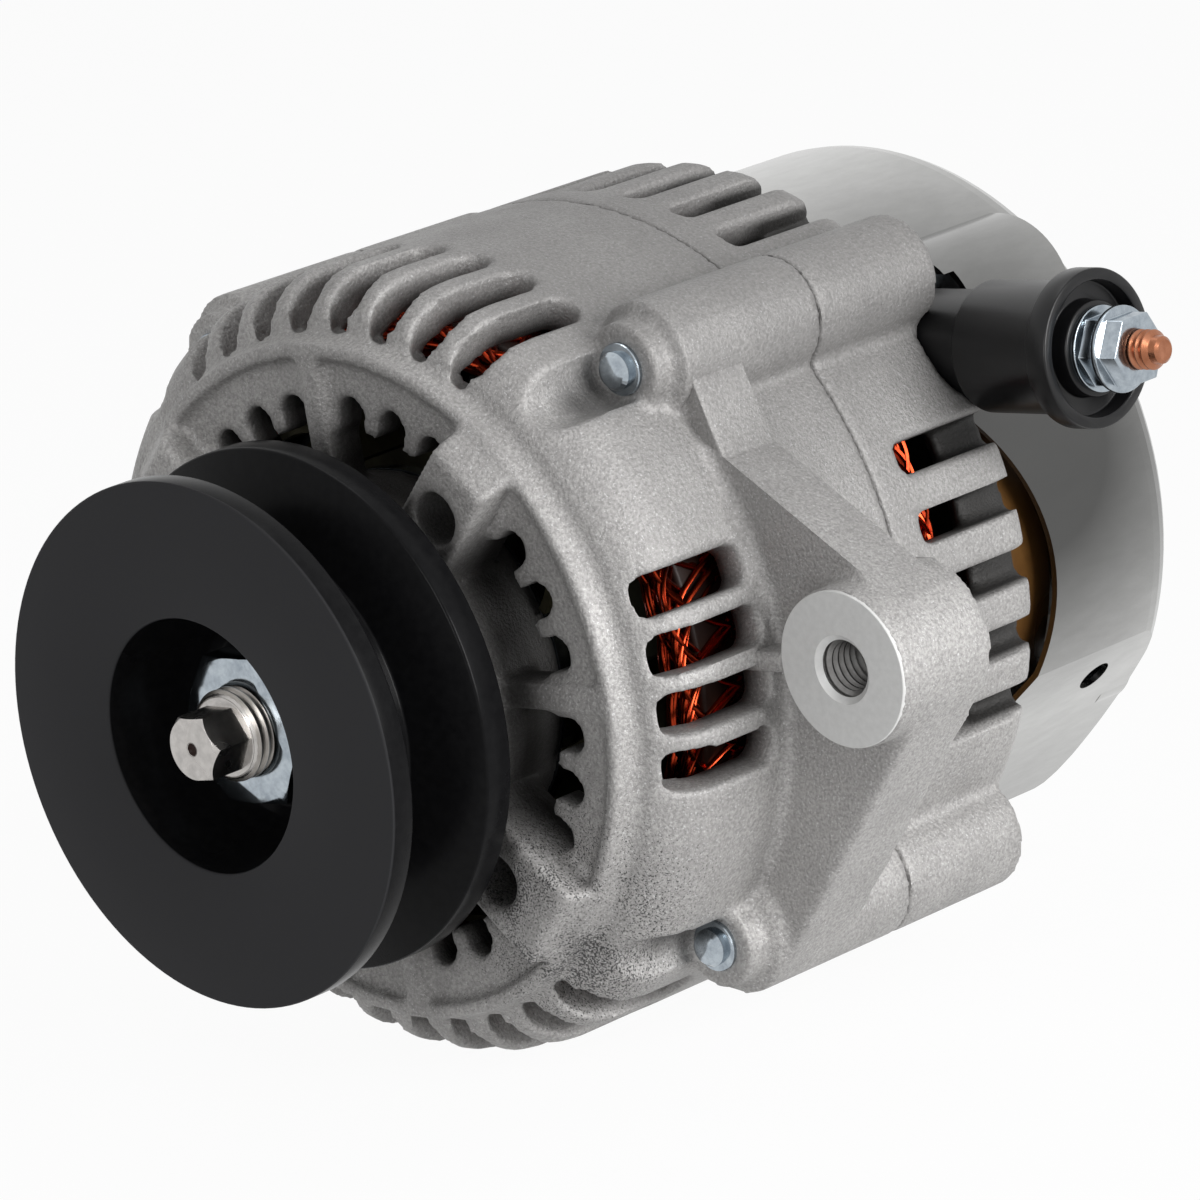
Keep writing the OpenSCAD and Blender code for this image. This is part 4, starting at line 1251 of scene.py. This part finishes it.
@dataclass
class Studio:
    """Floor, lamps and camera.

    Attributes:
        floor: Height of the floor in metres.
        azimuth: Camera azimuth in degrees.
        elevation: Camera elevation in degrees.
        roll: Camera roll in degrees.
        focal: Focal length in pixels of the 1200 pixel frame.
        reach: Distance from the pulley's front face in millimetres, along the view axis.
        aim: Pixel of the pulley's front centre.
        pulley_front: Station of the pulley's front face.
        frame_width: Width of the photograph's frame in pixels.
        sensor: Width of the camera's sensor in millimetres.
        glow: Share of the floor's look that is plain white for the camera and mirrors.
        dim: Strength of the world for all but camera and glossy rays.
        centre: Point that the lamps face, in metres.
        lamps: Name, place, size and power of each lamp.
    """

    floor: float = -0.0615
    azimuth: float = 46.26
    elevation: float = 12.62
    roll: float = -9.44
    focal: float = 7140.0
    reach: float = 1038.8
    aim: tuple[float, float] = (199.2, 747.1)
    pulley_front: float = -11.6
    frame_width: float = 1200.0
    sensor: float = 36.0
    glow: float = 0.95
    dim: float = 0.17
    centre: Triple = (0.0, 0.06, 0.0)
    lamps: tuple[tuple[str, Triple, float, float], ...] = (
        ("key_lamp", (1.0, 0.16, 0.24), 0.5, 11.5),
        ("top_lamp", (-0.1, 0.25, 1.2), 0.6, 2.4),
        ("front_lamp", (0.35, -1.1, 0.35), 0.4, 3.8),
    )

    def build(self) -> None:
        """Builds the stage, the lamps, the world and the camera."""
        self.lay_floor()
        self.light_world()
        for name, spot, size, power in self.lamps:
            self.lamp(name, spot, size, power)
        self.place_camera()

    def seen(self, tree: bpy.types.NodeTree) -> Socket:
        """Gives 1 for camera rays and glossy rays, and 0 for all others.

        Args:
            tree: Node tree that takes the nodes.

        Returns:
            The socket with the result.
        """
        path = tree.nodes.new("ShaderNodeLightPath")
        either = tree.nodes.new("ShaderNodeMath")
        either.operation = "MAXIMUM"
        tree.links.new(path.outputs["Is Camera Ray"], either.inputs[0])
        tree.links.new(path.outputs["Is Glossy Ray"], either.inputs[1])
        return either.outputs[0]

    def lay_floor(self) -> None:
        """Lays the pale floor."""
        mesh = bmesh.new()
        bmesh.ops.create_grid(mesh, x_segments=1, y_segments=1, size=6.0)
        bmesh.ops.translate(mesh, verts=list(mesh.verts), vec=(0.0, 0.0, self.floor))
        data = bpy.data.meshes.new("floor")
        mesh.to_mesh(data)
        mesh.free()
        floor = show("floor", data)
        material = bpy.data.materials.new("floor_white")
        material.use_nodes = True
        tree = material.node_tree
        tree.nodes.clear()
        out = tree.nodes.new("ShaderNodeOutputMaterial")
        blend = tree.nodes.new("ShaderNodeMixShader")
        matte = tree.nodes.new("ShaderNodeBsdfDiffuse")
        matte.inputs["Color"].default_value = (0.9, 0.9, 0.9, 1.0)
        glow = tree.nodes.new("ShaderNodeEmission")
        glow.inputs["Strength"].default_value = 1.0
        share = tree.nodes.new("ShaderNodeMath")
        share.operation = "MULTIPLY"
        share.inputs[1].default_value = self.glow
        tree.links.new(self.seen(tree), share.inputs[0])
        tree.links.new(share.outputs[0], blend.inputs[0])
        tree.links.new(matte.outputs[0], blend.inputs[1])
        tree.links.new(glow.outputs[0], blend.inputs[2])
        tree.links.new(blend.outputs[0], out.inputs["Surface"])
        data.materials.append(material)
        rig.stage(floor)

    def light_world(self) -> None:
        """Makes a white world for camera and glossy rays and a softer one for the rest."""
        world = bpy.data.worlds.new("studio")
        bpy.context.scene.world = world
        world.use_nodes = True
        tree = world.node_tree
        back = tree.nodes["Background"]
        back.inputs["Color"].default_value = (1.0, 1.0, 1.0, 1.0)
        level = tree.nodes.new("ShaderNodeMapRange")
        level.inputs["To Min"].default_value = self.dim
        level.inputs["To Max"].default_value = 1.0
        tree.links.new(self.seen(tree), level.inputs["Value"])
        tree.links.new(level.outputs["Result"], back.inputs["Strength"])

    def lamp(self, name: str, spot: Triple, size: float, power: float) -> None:
        """Places a soft square lamp that faces the centre.

        Args:
            name: Name of the lamp.
            spot: Place of the lamp in metres.
            size: Side of the lamp in metres.
            power: Power in watts.
        """
        data = bpy.data.lights.new(name, "AREA")
        data.shape = "SQUARE"
        data.size = size
        data.energy = power
        lamp = show(name, data)
        lamp.location = spot
        ray = Vector(self.centre) - Vector(spot)
        lamp.rotation_euler = ray.to_track_quat("-Z", "Y").to_euler()

    def place_camera(self) -> None:
        """Places the camera at the photograph's viewpoint."""
        a, e, r = (math.radians(v) for v in (self.azimuth, self.elevation, self.roll))
        back = Vector((math.sin(a) * math.cos(e), -math.cos(a) * math.cos(e), math.sin(e)))
        level = Vector((math.cos(a), math.sin(a), 0.0))
        rise = back.cross(level)
        right = level * math.cos(r) + rise * math.sin(r)
        up = -level * math.sin(r) + rise * math.cos(r)
        half = self.frame_width / 2.0
        off_x = (self.aim[0] - half) * self.reach / self.focal
        off_y = (half - self.aim[1]) * self.reach / self.focal
        spot = back * self.reach - right * off_x - up * off_y + Vector((0.0, self.pulley_front, 0.0))
        data = bpy.data.cameras.new("camera")
        data.sensor_fit = "HORIZONTAL"
        data.sensor_width = self.sensor
        data.lens = self.focal / self.frame_width * self.sensor
        data.clip_start = 0.05
        data.clip_end = 20.0
        camera = show("camera", data)
        turn = Matrix((right, up, back)).transposed().to_4x4()
        camera.matrix_world = Matrix.Translation(spot * MM) @ turn
        bpy.context.scene.camera = camera


@dataclass
class SizeLog:
    """Keeps the object's box before and after the pieces are made.

    Attributes:
        path: File that takes the two boxes.
        first: The box after loading.
    """

    path: str = "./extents.json"
    first: list = field(default_factory=list)

    def start(self) -> None:
        """Reads the box of the bare frame."""
        self.first = [list(corner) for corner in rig.bounds()]

    def save(self) -> None:
        """Writes both boxes."""
        last = [list(corner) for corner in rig.bounds()]
        with open(self.path, "w", encoding="utf-8") as out:
            json.dump({"cad": self.first, "visual": last}, out)


def main() -> None:
    """Builds the whole scene in order."""
    logging.basicConfig(level=logging.INFO, format="%(name)s: %(message)s")
    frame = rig.load()
    sizes = SizeLog()
    sizes.start()
    bpy.context.scene.view_settings.view_transform = "Standard"
    shop = Workshop(frame)
    shop.dress_nodes()
    Studio().build()
    Castings(shop).build()
    DriveLine(shop).build()
    Hardware(shop).build()
    Winding(shop).build()
    shop.press_springs()
    sizes.save()


if __name__ == "__main__":
    main()
